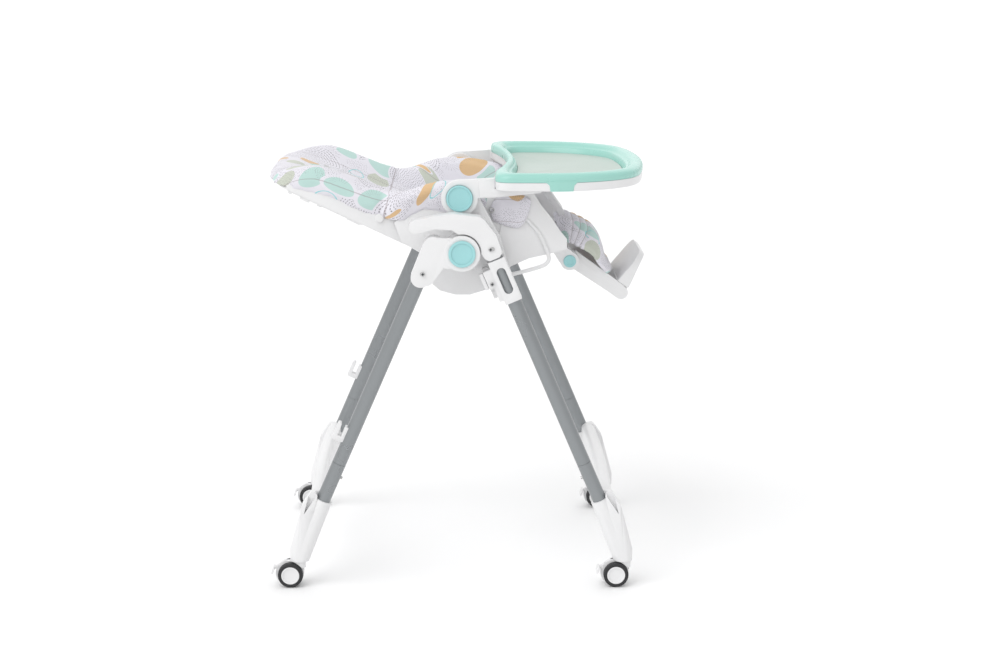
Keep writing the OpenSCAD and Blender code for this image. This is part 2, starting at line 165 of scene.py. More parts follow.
def mesh_piece(name, points, faces):
    mesh = bpy.data.meshes.new(name)
    mesh.from_pydata([tuple(p) for p in points], [], faces)
    mesh.update()
    piece = bpy.data.objects.new(name, mesh)
    bpy.context.collection.objects.link(piece)
    edit_all(piece)
    bpy.ops.mesh.remove_doubles(threshold=0.00002)
    bpy.ops.mesh.select_all(action="SELECT")
    bpy.ops.mesh.normals_make_consistent(inside=False)
    object_mode()
    return piece


def curve_through(keys, where, count, pull=1.0):
    """Rows spread evenly along a smooth curve through key rows that stand at the places in where."""
    slopes = np.gradient(keys, where, axis=0)
    out = []
    for s in np.linspace(0, where[-1], count):
        i = min(int(np.searchsorted(where, s, side="right")) - 1, len(where) - 2)
        h = where[i + 1] - where[i]
        t = (s - where[i]) / h
        a, b, p, q = keys[i], keys[i + 1], slopes[i] * h * pull, slopes[i + 1] * h * pull
        out.append((2 * t**3 - 3 * t**2 + 1) * a + (t**3 - 2 * t**2 + t) * p
                   + (3 * t**2 - 2 * t**3) * b + (t**3 - t**2) * q)
    return out


def smooth_path(keys, count):
    """Points spread along a smooth curve through a few keys."""
    keys = np.array(keys, float)
    where = np.concatenate([[0], np.cumsum(np.linalg.norm(np.diff(keys, axis=0), axis=1))])
    return [Vector(point) for point in curve_through(keys, where, count)]


def swept(name, path, profile, side):
    """A closed bar along a path: the profile's first axis lies along side, its second across the path."""
    side = Vector(side)
    points, faces, n = [], [], len(profile)
    for i, place in enumerate(path):
        before, after = path[max(i - 1, 0)], path[min(i + 1, len(path) - 1)]
        across = (after - before).normalized().cross(side).normalized()
        points += [place + side * u + across * v for u, v in profile]
    for i in range(len(path) - 1):
        for j in range(n):
            a, b = i * n + j, i * n + (j + 1) % n
            faces.append((a, b, b + n, a + n))
    faces.append(tuple(range(n)))
    faces.append(tuple(reversed(range((len(path) - 1) * n, len(path) * n))))
    return mesh_piece(name, points, faces)


def plate(name, outline, y0, y1, width):
    """A flat plate with rounded edges: an outline of (x, z) points, from one side plane to another."""
    points = [Vector((x, y, z)) for y in (y0, y1) for x, z in outline]
    n = len(outline)
    faces = [tuple(range(n)), tuple(reversed(range(n, 2 * n)))]
    faces += [(i, (i + 1) % n, n + (i + 1) % n, n + i) for i in range(n)]
    piece = mesh_piece(name, points, faces)
    apply_modifier(piece, "BEVEL", width=width, segments=3, limit_method="ANGLE", angle_limit=radians(35))
    return piece


def joined(pieces):
    """Joins a few objects into the first one."""
    only(pieces[0])
    for one in pieces[1:]:
        one.select_set(True)
    bpy.ops.object.join()
    return pieces[0]


def back_point(up, off, y=0.0):
    """A point on the backrest: up from its hinge, off its face, in millimetres."""
    return Vector((BACK_HINGE.x + MM * (off * sin(RECLINE) - up * cos(RECLINE)), MM * y,
                   BACK_HINGE.z + MM * (up * sin(RECLINE) + off * cos(RECLINE))))


def leg_point(down, off, y=0.0):
    """A point on the leg rest: down from its hinge, off its face, in millimetres."""
    return Vector((LEG_HINGE.x + MM * (down * cos(LEG_DROP) + off * sin(LEG_DROP)), MM * y,
                   LEG_HINGE.z + MM * (off * cos(LEG_DROP) - down * sin(LEG_DROP))))


# ---- Shader node helpers ----

class Nodes:
    """Adds shader nodes to a tree with short calls."""

    def __init__(self, tree):
        self.tree = tree

    def add(self, kind, **values):
        node = self.tree.nodes.new(kind)
        for key, value in values.items():
            setattr(node, key, value)
        return node

    def put(self, socket, value):
        if value is None:
            return
        if isinstance(value, bpy.types.NodeSocket):
            self.tree.links.new(value, socket)
        else:
            socket.default_value = value

    def maths(self, operation, a, b=None, c=None, clamp=False):
        node = self.add("ShaderNodeMath", operation=operation, use_clamp=clamp)
        for socket, value in zip(node.inputs, (a, b, c)):
            self.put(socket, value)
        return node.outputs[0]

    def vector(self, operation, a, b=None, scale=None):
        node = self.add("ShaderNodeVectorMath", operation=operation)
        self.put(node.inputs[0], a)
        self.put(node.inputs[1], b)
        if scale is not None:
            self.put(node.inputs["Scale"], scale)
        return node.outputs["Value" if operation in ("LENGTH", "DISTANCE") else "Vector"]

    def noise(self, where, scale, detail=2.0, roughness=0.5):
        node = self.add("ShaderNodeTexNoise")
        self.put(node.inputs["Vector"], where)
        node.inputs["Scale"].default_value = scale
        node.inputs["Detail"].default_value = detail
        node.inputs["Roughness"].default_value = roughness
        return node.outputs["Fac"]

    def cells(self, where, scale, flat=False, randomness=1.0):
        node = self.add("ShaderNodeTexVoronoi", voronoi_dimensions="2D" if flat else "3D")
        self.put(node.inputs["Vector"], where)
        node.inputs["Scale"].default_value = scale
        node.inputs["Randomness"].default_value = randomness
        return node

    def between(self, value, low, high, a=0.0, b=1.0):
        node = self.add("ShaderNodeMapRange")
        for key, v in (("Value", value), ("From Min", low), ("From Max", high), ("To Min", a), ("To Max", b)):
            self.put(node.inputs[key], v)
        return node.outputs[0]

    def mix(self, factor, a, b):
        node = self.add("ShaderNodeMix", data_type="RGBA")
        self.put(node.inputs[0], factor)
        self.put(node.inputs[6], a)
        self.put(node.inputs[7], b)
        return node.outputs[2]

    def bump(self, height, strength, distance):
        node = self.add("ShaderNodeBump")
        for key, value in (("Height", height), ("Strength", strength), ("Distance", distance)):
            self.put(node.inputs[key], value)
        return node.outputs["Normal"]

    def parts(self, vector):
        """The X, Y and Z of a vector."""
        node = self.add("ShaderNodeSeparateXYZ")
        self.put(node.inputs[0], vector)
        return node.outputs

    def flat(self, x, y):
        node = self.add("ShaderNodeCombineXYZ")
        self.put(node.inputs[0], x)
        self.put(node.inputs[1], y)
        return node.outputs[0]

    def group(self, tree, **values):
        """A shared node group, with its inputs set or linked."""
        node = self.add("ShaderNodeGroup", node_tree=tree)
        for key, value in values.items():
            self.put(node.inputs[key], value)
        return node.outputs

    def object_point(self):
        return self.add("ShaderNodeTexCoord").outputs["Object"]


for short, operation in (("times", "MULTIPLY"), ("plus", "ADD"), ("minus", "SUBTRACT"), ("less", "LESS_THAN"),
                         ("more", "GREATER_THAN"), ("most", "MAXIMUM"), ("size", "ABSOLUTE"), ("fract", "FRACT"),
                         ("whole", "FLOOR"), ("sine", "SINE"), ("bearing", "ARCTAN2")):
    setattr(Nodes, short, partialmethod(Nodes.maths, operation))


def shader_group(name, inputs, outputs, build):
    """Builds a shader node group once, with named inputs and outputs."""
    group = bpy.data.node_groups.get(name)
    if group:
        return group
    group = bpy.data.node_groups.new(name, "ShaderNodeTree")
    for label, kind, default in inputs:
        socket = group.interface.new_socket(label, in_out="INPUT", socket_type=kind)
        if default is not None:
            socket.default_value = default
    for label, kind in outputs:
        group.interface.new_socket(label, in_out="OUTPUT", socket_type=kind)
    nodes = Nodes(group)
    source = nodes.add("NodeGroupInput")
    sink = nodes.add("NodeGroupOutput")
    build(nodes, {s.name: s for s in source.outputs}, sink)
    return group


def build_moulding(nodes, given, sink):
    """Fine spark texture, broad unevenness and a little dust, as on moulded plastic or sprayed paint."""
    fine = nodes.noise(nodes.vector("SCALE", given["Point"], scale=given["Grain"]), 1.0, 3.0, 0.6)
    broad = nodes.noise(given["Point"], 9.0, 3.0)
    dust = nodes.times(nodes.between(nodes.noise(given["Point"], 38.0, 4.0, 0.7), 0.52, 0.8),
                       given["Dust"])
    drift = nodes.between(broad, 0.3, 0.7, -0.5, 0.5)
    bright = nodes.plus(1.0, nodes.minus(nodes.times(drift, given["Unevenness"]), dust))
    nodes.put(sink.inputs["Colour"], nodes.vector("SCALE", given["Colour"], scale=bright))
    rough = nodes.plus(given["Roughness"], nodes.times(drift, 0.08))
    nodes.put(sink.inputs["Roughness"], nodes.plus(rough, nodes.times(dust, 3.0)))
    nodes.put(sink.inputs["Height"], nodes.plus(fine, nodes.times(broad, 0.4)))


def moulding_group():
    return shader_group(
        "Moulded surface",
        [("Point", "NodeSocketVector", None), ("Colour", "NodeSocketColor", (0.8, 0.8, 0.8, 1)),
         ("Roughness", "NodeSocketFloat", 0.4), ("Grain", "NodeSocketFloat", 900.0),
         ("Unevenness", "NodeSocketFloat", 0.03), ("Dust", "NodeSocketFloat", 0.02)],
        [("Colour", "NodeSocketColor"), ("Roughness", "NodeSocketFloat"), ("Height", "NodeSocketFloat")],
        build_moulding)


def new_material(name):
    material = bpy.data.materials.new(name)
    material.use_nodes = True
    material.node_tree.nodes.clear()
    nodes = Nodes(material.node_tree)
    surface = nodes.add("ShaderNodeBsdfPrincipled")
    out = nodes.add("ShaderNodeOutputMaterial")
    nodes.put(out.inputs["Surface"], surface.outputs[0])
    return material, nodes, surface


def moulded(name, colour, roughness, grain=900.0, unevenness=0.02, dust=0.012, bump=0.12, **sockets):
    """A finish for plastic, paint or rubber: the shared surface group over one colour."""
    material, nodes, surface = new_material(name)
    made = nodes.group(moulding_group(), Point=nodes.object_point(), Colour=(*colour, 1), Roughness=roughness,
                       Grain=grain, Unevenness=unevenness, Dust=dust)
    nodes.put(surface.inputs["Base Color"], made["Colour"])
    nodes.put(surface.inputs["Roughness"], made["Roughness"])
    nodes.put(surface.inputs["Normal"], nodes.bump(made["Height"], bump, 0.0004))
    for label, value in sockets.items():
        surface.inputs[label.replace("_", " ")].default_value = value
    return material


def build_weave(nodes, given, sink):
    """A plain weave from crossed threads, with slubs, on flat cloth coordinates."""
    parts = nodes.parts(given["Point"])
    across, along = (nodes.sine(nodes.times(parts[axis], given["Threads"])) for axis in (0, 1))
    crossing = nodes.times(across, along)
    slub = nodes.noise(nodes.vector("MULTIPLY", given["Point"], (8.0, 60.0, 1.0)), 1.0, 3.0)
    height = nodes.plus(nodes.between(crossing, -1.0, 1.0), nodes.times(slub, 0.6))
    nodes.put(sink.inputs["Height"], height)
    nodes.put(sink.inputs["Shade"], nodes.between(height, 0.2, 1.4, 0.94, 1.03))


def weave_group():
    return shader_group(
        "Plain weave", [("Point", "NodeSocketVector", None), ("Threads", "NodeSocketFloat", 900.0)],
        [("Height", "NodeSocketFloat"), ("Shade", "NodeSocketFloat")], build_weave)


def build_motif(nodes, given, sink):
    """Where a point lies in one rounded printed shape: its reach from the middle, and its bearing."""
    away = nodes.vector("SUBTRACT", given["Point"], given["Middle"])
    turn = nodes.add("ShaderNodeVectorRotate", rotation_type="Z_AXIS")
    nodes.put(turn.inputs["Vector"], away)
    nodes.put(turn.inputs["Angle"], given["Turn"])
    even = nodes.vector("DIVIDE", turn.outputs[0], given["Radii"])
    parts = nodes.parts(even)
    bearing = nodes.bearing(parts[1], parts[0])
    wobble = nodes.times(nodes.sine(nodes.times(bearing, 3.0)), 0.06)
    reach = nodes.plus(nodes.vector("LENGTH", nodes.flat(parts[0], parts[1])), wobble)
    nodes.put(sink.inputs["Reach"], reach)
    nodes.put(sink.inputs["Bearing"], bearing)
    nodes.put(sink.inputs["Inside"], nodes.between(reach, 0.98, 1.0, 1.0, 0.0))


def motif_group():
    return shader_group(
        "Printed shape",
        [("Point", "NodeSocketVector", None), ("Middle", "NodeSocketVector", None),
         ("Radii", "NodeSocketVector", (1, 1, 1)), ("Turn", "NodeSocketFloat", 0.0)],
        [("Inside", "NodeSocketFloat"), ("Reach", "NodeSocketFloat"), ("Bearing", "NodeSocketFloat")],
        build_motif)


MINT = (0.50, 0.69, 0.65)
DEEP_MINT = (0.42, 0.68, 0.63)
TAN = (0.70, 0.48, 0.27)
SAGE = (0.57, 0.60, 0.52)
INK = (0.16, 0.15, 0.17)
TEAL = (0.28, 0.66, 0.68)


def printed_fabric(name, motifs, ground, shaded_seams=()):
    """Printed cotton. A motif is (kind, middle u, v, radius u, v, turn), in tenths of a metre of flat cloth. Seam
    lines are sunk in the bump and darkened with painted shade.
    """
    material, nodes, surface = new_material(name)
    uv = nodes.add("ShaderNodeUVMap", uv_map="cloth")
    point = uv.outputs[0]
    drift = nodes.noise(point, 1.6, 2.0)
    colour = nodes.mix(nodes.between(drift, 0.3, 0.7), (*ground, 1), tuple(c * 0.965 for c in ground) + (1,))
    scatter = nodes.cells(point, 1.15, flat=True, randomness=0.8)
    pick = nodes.add("ShaderNodeSeparateColor")
    nodes.put(pick.inputs[0], scatter.outputs["Color"])
    blob = nodes.between(scatter.outputs["Distance"], 0.265, 0.27, 1.0, 0.0)
    ramp = nodes.add("ShaderNodeValToRGB")
    ramp.color_ramp.interpolation = "CONSTANT"
    ramp.color_ramp.elements[0].color = (*MINT, 1)
    ramp.color_ramp.elements[1].position = 0.4
    ramp.color_ramp.elements[1].color = (*SAGE, 1)
    tan = ramp.color_ramp.elements.new(0.7)
    tan.color = (*TAN, 1)
    nodes.put(ramp.inputs[0], pick.outputs[0])
    # fine dots in patches
    dots = nodes.cells(point, 26.0, flat=True, randomness=0.7)
    patch = nodes.between(nodes.noise(point, 1.9, 1.0), 0.48, 0.51)
    ink = nodes.times(nodes.between(dots.outputs["Distance"], 0.13, 0.17, 1.0, 0.0), patch)
    chosen = nodes.more(pick.outputs[1], 0.45)
    colour = nodes.mix(nodes.times(blob, chosen), colour, ramp.outputs[0])
    # dashed rings round the cells that hold no blob
    parts = nodes.parts(nodes.vector("SUBTRACT", point, scatter.outputs["Position"]))
    bearing, reach = nodes.bearing(parts[1], parts[0]), scatter.outputs["Distance"]

    def dashes(reach, bearing, rings, count, limit):
        turns = nodes.times(reach, rings)
        line = nodes.less(nodes.fract(turns), 0.22)
        stagger = nodes.times(nodes.whole(turns), 0.37)
        step = nodes.plus(nodes.times(bearing, count / (2 * pi)), stagger)
        step = nodes.times(step, nodes.plus(nodes.whole(turns), 1.0))
        dash = nodes.less(nodes.fract(step), 0.62)
        return nodes.times(nodes.times(line, dash), nodes.less(reach, limit))

    def spokes(reach, bearing, count, low, high):
        line = nodes.less(nodes.fract(nodes.times(bearing, count / (2 * pi))), 0.05)
        band = nodes.times(nodes.more(reach, low), nodes.less(reach, high))
        return nodes.times(line, band)

    ringed = nodes.minus(1.0, chosen)
    ink = nodes.most(ink, nodes.times(dashes(reach, bearing, 16.0, 5.0, 0.42), ringed))
    shades = {"mint": MINT, "deep": DEEP_MINT, "tan": TAN, "sage": SAGE}
    for kind, u, v, ru, rv, turn in motifs:
        inside, r, b = nodes.group(motif_group(), Point=point, Middle=(u, v, 0), Radii=(ru, rv, 1), Turn=turn)
        if kind in shades:
            halo = nodes.less(r, 1.25)
            ink = nodes.times(ink, nodes.minus(1.0, halo))
            colour = nodes.mix(halo, colour, (*ground, 1))
            colour = nodes.mix(inside, colour, (*shades[kind], 1))
            veins = nodes.times(spokes(r, b, 34, 0.5, 1.15), nodes.more(b, 1.2))
            ink = nodes.most(ink, veins)
        elif kind == "ring":
            band = nodes.less(nodes.size(nodes.minus(r, 0.9)), 0.06)
            colour = nodes.mix(band, colour, (*TEAL, 1))
        elif kind == "arcs":
            halo = nodes.less(r, 1.0)
            colour = nodes.mix(halo, colour, (*ground, 1))
            ink = nodes.times(ink, nodes.minus(1.0, halo))
            ink = nodes.most(ink, dashes(r, b, 9.0, 5.0, 1.0))
        elif kind == "rays":
            ink = nodes.most(ink, spokes(r, b, 22, 0.15, 1.0))
    colour = nodes.mix(nodes.times(ink, 0.85), colour, (*INK, 1))
    along = nodes.parts(point)
    xyz = nodes.parts(nodes.vector("SCALE", nodes.object_point(), scale=10.0))
    weave = nodes.group(weave_group(), Point=nodes.flat(xyz[0], nodes.plus(xyz[1], xyz[2])))
    height = weave["Height"]
    # each seam is sunk in the bump, with a dark brown-grey line of painted shade along its crease
    for axis, place, width in shaded_seams:
        away = nodes.size(nodes.minus(nodes.size(along[axis]), place))
        line = nodes.between(away, width * 0.4, width, 1.0, 0.0)
        colour = nodes.mix(nodes.times(line, 0.55), colour, (0.32, 0.27, 0.28, 1))
        height = nodes.minus(height, nodes.times(line, 3.0))
    colour = nodes.vector("SCALE", colour, scale=weave["Shade"])
    nodes.put(surface.inputs["Base Color"], colour)
    nodes.put(surface.inputs["Roughness"], nodes.between(weave["Shade"], 0.9, 1.05, 0.9, 0.78))
    surface.inputs["Sheen Weight"].default_value = 0.25
    surface.inputs["Sheen Roughness"].default_value = 0.5
    surface.inputs["Specular IOR Level"].default_value = 0.25
    nodes.put(surface.inputs["Normal"], nodes.bump(height, 0.25, 0.0004))
    return material


FINISH = {}
MOULDED = {  # slot: name, look or colour, roughness, the rest
    "white_plastic": ("White moulded plastic", "white", 0.36, dict(bump=0.04, Specular_IOR_Level=0.45)),
    "mint_plastic": ("Mint tray plastic", "mint", 0.27,
                     dict(bump=0.004, dust=0.004, unevenness=0.01, Specular_IOR_Level=0.5)),
    "cyan_plastic": ("Turquoise button plastic", "turquoise", 0.34, dict(bump=0.06)),
    "sage_plastic": ("Sage tray liner plastic", "sage", 0.38, dict(bump=0.004, dust=0.004, unevenness=0.01)),
    "grey_paint": ("Grey powder coat", "tube", 0.30, dict(grain=1400.0, bump=0.06, Metallic=0.5, Coat_Weight=0.2)),
    "steel": ("Zinc plated steel", (0.50, 0.50, 0.50), 0.30, dict(grain=600.0, Metallic=1.0)),
    "tyre": ("Black tread rubber", (0.018, 0.018, 0.020), 0.55, dict(grain=700.0, bump=0.3, dust=0.004)),
    "printed_fabric": ("Plain lining", "fabric", 0.85, dict(grain=1200.0, bump=0.4)),
}


def finish_for(slot):
    """The finish for one of the record's material slots, made once."""
    if slot == "webbing" and slot not in FINISH:
        FINISH[slot] = webbing_finish()
    if slot not in FINISH:
        name, colour, roughness, rest = MOULDED[slot]
        if isinstance(colour, str):
            colour = getattr(bpy.context.scene.chair_look, colour)
        FINISH[slot] = moulded(name, colour, roughness, **rest)
    return FINISH[slot]


def webbing_finish():
    material, nodes, surface = new_material("Harness webbing")
    weave = nodes.group(weave_group(), Point=nodes.object_point(), Threads=3600.0)
    nodes.put(surface.inputs["Base Color"], nodes.vector("SCALE", (0.62, 0.62, 0.63), scale=weave["Shade"]))
    surface.inputs["Roughness"].default_value = 0.75
    nodes.put(surface.inputs["Normal"], nodes.bump(weave["Height"], 0.6, 0.0006))
    return material


# ---- Hard parts ----

def rounded_copy(node, width, segments=2, angle=30):
    """A copy of a CAD node with its moulded edges rounded."""
    source = frame["nodes"][node]
    bpy.ops.object.select_all(action="DESELECT")
    source.select_set(True)
    bpy.context.view_layer.objects.active = source
    bpy.ops.object.duplicate()
    piece = bpy.context.view_layer.objects.active
    for key in list(piece.keys()):
        del piece[key]
    piece.parent = None
    piece.matrix_world = Matrix.Identity(4)
    bpy.ops.mesh.customdata_custom_splitnormals_clear()
    edit_all(piece)
    bpy.ops.mesh.remove_doubles(threshold=0.000005)
    bpy.ops.mesh.select_all(action="SELECT")
    bpy.ops.mesh.dissolve_limited(angle_limit=radians(0.7))
    object_mode()
    if width:
        apply_modifier(piece, "BEVEL", width=width, segments=segments, limit_method="ANGLE",
                       angle_limit=radians(angle), use_clamp_overlap=True, profile=0.6)
    settle(piece, node + "_finished", SLOT_OF[node], body_of(source)[0], replaces=(node,))
    return piece


ROUNDED = {
    "front_bracket_R": 2.2, "front_bracket_L": 2.2, "rear_bracket_R": 2.2, "rear_bracket_L": 2.2,
    "slider_R": 2.0, "slider_L": 2.0, "carrier_arm_R": 1.8, "carrier_arm_L": 1.8,
    "armrest_R": 2.4, "armrest_L": 2.4, "tray_hooks": 1.4, "crotch_post": 2.2,
    "leg_rest": 1.6, "foot_plate": 2.4, "height_trigger_R": 1.2, "height_trigger_L": 1.2,
    "recline_lever": 1.2, "harness_buckle": 1.6, "backrest_shell": 1.4, "seat_shell": 1.0,
    "fold_button_R": 0.7, "fold_button_L": 0.7, "armrest_button_R": 0.7, "armrest_button_L": 0.7,
    "leg_rest_button_R": 1.0, "leg_rest_button_L": 1.0,
}
ROUNDED.update({f"caster_{part}_{corner}": width for part, width in (("hood", 1.0), ("brake", 0.6), ("hubs", 0.8))
                for corner in ("FR", "FL", "RR", "RL")})


HEAD_UP = (290, 306, 322, 337, 352, 362)  # up the backrest, in mm, and the shell's half width there
HEAD_HALF = (187, 179, 168, 150, 126, 106)
BUTTON_PLAY = 0.012  # share of its size that a button is shrunk by, to run free of its ring


def dish_button(piece):
    """Sinks the middle of a round button's outer face, leaving a narrow raised rim."""
    side = 1 if sum(v.co.y for v in piece.data.vertices) > 0 else -1
    far = max(v.co.y * side for v in piece.data.vertices)
    middle = sum((v.co for v in piece.data.vertices), Vector()) / len(piece.data.vertices)
    for vertex in piece.data.vertices:
        vertex.co.x += BUTTON_PLAY * (middle.x - vertex.co.x)
        vertex.co.z += BUTTON_PLAY * (middle.z - vertex.co.z)
    edit_all(piece)
    bpy.ops.mesh.select_all(action="DESELECT")
    bpy.ops.mesh.select_mode(type="FACE")
    object_mode()
    for face in piece.data.polygons:
        face.select = face.normal.y * side > 0.99 and face.center.y * side > far - 0.0002
    bpy.ops.object.mode_set(mode="EDIT")
    bpy.ops.mesh.inset(thickness=0.0035, depth=0)
    bpy.ops.mesh.inset(thickness=0.0006, depth=-0.0009)
    bpy.ops.mesh.inset(thickness=0.0010, depth=0)
    object_mode()
    apply_modifier(piece, "BEVEL", width=0.0003, segments=2, limit_method="ANGLE", angle_limit=radians(25))
    only(piece)
    bpy.ops.object.shade_smooth_by_angle(angle=radians(35))


class CHAIR_OT_hard_parts(bpy.types.Operator):
    """Gives every moulded part its finish and rounded edges"""
    bl_idname = "chair.hard_parts"
    bl_label = "Moulded parts"

    def execute(self, context):
        for node, source in frame["nodes"].items():
            source.data.materials.clear()
            source.data.materials.append(finish_for(SLOT_OF[node]))
        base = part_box("tray_base")[0]
        for node, width in ROUNDED.items():
            piece = rounded_copy(node, width * MM * context.scene.chair_look.edge_round)
            if "button" in node:
                dish_button(piece)
            if node.startswith("armrest_") and "button" not in node:
                edit_all(piece)
                bpy.ops.mesh.bisect(plane_co=(base.x, 0, 0), plane_no=(1, 0, 0))
                object_mode()
                for vertex in piece.data.vertices:
                    if vertex.co.x > base.x + 0.0001 and vertex.co.z < base.z + 0.0075:
                        vertex.co.z = base.z + 0.0075
            if node == "backrest_shell":
                for vertex in piece.data.vertices:
                    away = vertex.co - BACK_HINGE
                    up = (away.z * sin(RECLINE) - away.x * cos(RECLINE)) / MM
                    off = (away.z * cos(RECLINE) + away.x * sin(RECLINE)) / MM
                    most = MM * float(np.interp(up, HEAD_UP, HEAD_HALF))
                    vertex.co.y = max(-most, min(most, vertex.co.y))
                    if up > 296 and off > -2:
                        vertex.co = back_point(up, -2 + 0.1 * (off + 2), vertex.co.y / MM)
                    back = MM * 0.3 * max(0.0, up - 300)
                    vertex.co += Vector((back * cos(RECLINE), 0, -back * sin(RECLINE)))
        for node in ("front_base", "rear_base"):
            rounded_copy(node, 0)
        return {"FINISHED"}


class CHAIR_OT_meal_tray(bpy.types.Operator):
    """Makes the mint meal tray with its rolled rim and side clips, and the liner in its bowl"""
    bl_idname = "chair.meal_tray"
    bl_label = "Meal tray"

    def execute(self, context):
        source = frame["nodes"]["tray_top"]
        tree = BVHTree.FromPolygons([v.co for v in source.data.vertices],
                                    [tuple(p.vertices) for p in source.data.polygons])
        low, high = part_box("tray_top")
        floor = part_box("tray_insert")[0].z
        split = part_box("tray_base")[1].z + 0.0003
        middle = Vector((0.235, 0, high.z - 0.001))  # rays from here meet the rim once each way
        turns = 240
        inner, outer = [], []
        for k in range(turns):
            way = Vector((cos(2 * pi * k / turns), sin(2 * pi * k / turns), 0))
            first = tree.ray_cast(middle, way)[0]
            second = tree.ray_cast(first + way * 0.002, way)[0]
            # the front corners are fuller than the exact part's
            fuller = 1 + 0.055 * np.exp(-((abs(way.angle(Vector((1, 0, 0)))) - pi / 3) / 0.28) ** 2)
            inner.append(middle + (first - middle) * fuller)
            outer.append(middle + (second - middle) * fuller)

        def ring(share, z):
            return [Vector((*(outer[k].lerp(inner[k], share)).xy, z)) for k in range(turns)]

        def lathe(name, rings, top, under):
            points = [p for one in rings for p in one] + [Vector((middle.x, 0, top)), Vector((middle.x, 0, under))]
            faces, last = [], (len(rings) - 1) * turns
            for i in range(len(rings) - 1):
                for k in range(turns):
                    a, b = i * turns + k, i * turns + (k + 1) % turns
                    faces.append((a, b, b + turns, a + turns))
            for k in range(turns):
                faces.append((len(points) - 1, k, (k + 1) % turns))
                faces.append((len(points) - 2, last + (k + 1) % turns, last + k))
            return mesh_piece(name, points, faces)

        z = high.z
        # share of the way from the outer edge to the inner, and height
        rim = ((1.0, floor - 0.003), (0.88, floor - 0.003), (0.86, split + 0.001), (0.12, split + 0.0015),
               (0.10, split), (0.0, split), (-0.006, split + 0.004), (-0.004, split + 0.008), (0.02, z - 0.0062),
               (0.07, z - 0.0035), (0.14, z - 0.0017), (0.24, z - 0.0004), (0.36, z), (0.48, z - 0.0006),
               (0.58, z - 0.0024), (0.66, z - 0.0052), (0.72, z - 0.0078), (0.75, z - 0.0088), (0.80, z - 0.0092),
               (0.85, z - 0.0105), (0.92, z - 0.0155), (0.97, floor + 0.0045), (1.0, floor + 0.0006))
        piece = lathe("meal tray", [ring(share, height) for share, height in rim], floor, floor - 0.003)
        parts = [piece]
        for side in (-1, 1):
            rows_over, rows_under = [], []
            for x in np.linspace(0.176, 0.236, 31):
                near = sorted((p for p in outer if p.y > 0.2), key=lambda p: p.x)
                edge = float(np.interp(x, [p.x for p in near], [p.y for p in near]))
                reach = abs(x - 0.206)
                bottom = low.z if reach < 0.0235 else split - 0.9 * max(0.0, 0.030 - reach)
                over, under = [], []
                for k in range(9):
                    t = k / 8
                    height = (split + 0.003) * (1 - t) + bottom * t
                    lift = 0.0010 * sqrt(max(0.0, 1 - t**6))
                    over.append(Vector((x, side * (edge + lift), height)))
                    under.append(Vector((x, side * (edge - 0.002), height)))
                rows_over.append(over)
                rows_under.append(under)
            parts.append(closed_sheet("tab", rows_over, rows_under)[0])
        piece = joined(parts)
        pan = ((0.16, low.z), (0.07, low.z), (0.02, low.z + 0.001), (0.004, low.z + 0.004), (0.004, split - 0.0006),
               (0.84, split - 0.002), (0.86, floor - 0.0035), (1.0, floor - 0.0035))
        base = lathe("tray base", [ring(share, height) for share, height in pan], low.z, floor - 0.0035)
        settle(base, "tray_base_pan", "white_plastic", "tray", smooth=50, replaces=("tray_base",))
        settle(piece, "meal_tray_rim", "mint_plastic", "meal_tray", smooth=50, replaces=("tray_top",))
        top = floor + 0.0030
        sheet = ((1.02, floor), (1.02, top - 0.0006), (1.03, top), (1.07, top), (1.10, top - 0.0004))
        piece = lathe("tray liner", [ring(share, height) for share, height in sheet], top - 0.0004, floor)
        settle(piece, "tray_liner", "sage_plastic", "meal_tray", smooth=30, replaces=("tray_insert",))
        return {"FINISHED"}


class CHAIR_OT_details(bpy.types.Operator):
    """Adds the side loops, the backrest's side walls and clips, and the seat shell's ribs"""
    bl_idname = "chair.details"
    bl_label = "Small details"

    def execute(self, context):
        round_bar = [(0.0044 * cos(k * pi / 8), 0.0040 * sin(k * pi / 8)) for k in range(16)]
        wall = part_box("seat_shell")[1].y - 0.016
        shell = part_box("backrest_shell")[1].y
        for side, tag in SIDES:
            keys = ((113, 6, 621), (130, 6, 625), (152, 6, 631), (171, 6, 637), (181, 6, 642), (186, 6, 650),
                    (185, 5, 661), (179, 3, 676), (169, 2, 698), (154, 1, 717), (138, 0, 733))
            path = smooth_path([(x * MM, side * (wall + out * MM), z * MM) for x, out, z in keys], 60)
            settle(swept("loop", path, round_bar, (0, 1, 0)), f"side_loop_{tag}", "white_plastic", "seat_carrier",
                   smooth=60, replaces=("side_loops",) if side > 0 else ())
            corners = ((26, -11.6), (150, -11.6), (262, -11.6), (300, -11.4), (306, -4), (300, 3), (280, 9),
                       (200, 14), (120, 25), (60, 40), (26, 44))
            outline = [back_point(*place).xz for place in corners]
            parts = [plate("wall", outline, side * (shell - 0.006), side * (shell + 0.0012), 0.0014)]
            for up, wide, deep in ((294, 10, 5), (262, 22, 5.5), (232, 10, 4), (158, 30, 3.5)):
                low, high, under = up - wide / 2, up + wide / 2, -11.6 - deep
                corners = ((low, -10), (high, -10), (high - 1, under), (low + 1, under))
                outline = [back_point(*place).xz for place in corners]
                parts.append(plate("clip", outline, side * (shell - 0.014), side * (shell - 0.001), 0.0012))
            settle(joined(parts), f"backrest_wall_{tag}", "white_plastic", "backrest")
            tab = [Vector((-0.147 + 0.0085 * cos(a * pi / 12), 0.731 + 0.0085 * sin(a * pi / 12))) for a in range(24)]
            settle(plate("toggle", tab, side * (shell + 0.0005), side * (shell + 0.0062), 0.0012),
                   f"liner_toggle_{tag}", "white_plastic", "backrest")
            rib = [(0.097, 0.721), (0.092, 0.721), (0.0855, 0.691), (0.0885, 0.690)]
            settle(plate("rib", rib, side * (wall - 0.001), side * (wall + 0.0016), 0.0008),
                   f"shell_rib_{tag}", "white_plastic", "seat_carrier")
        return {"FINISHED"}


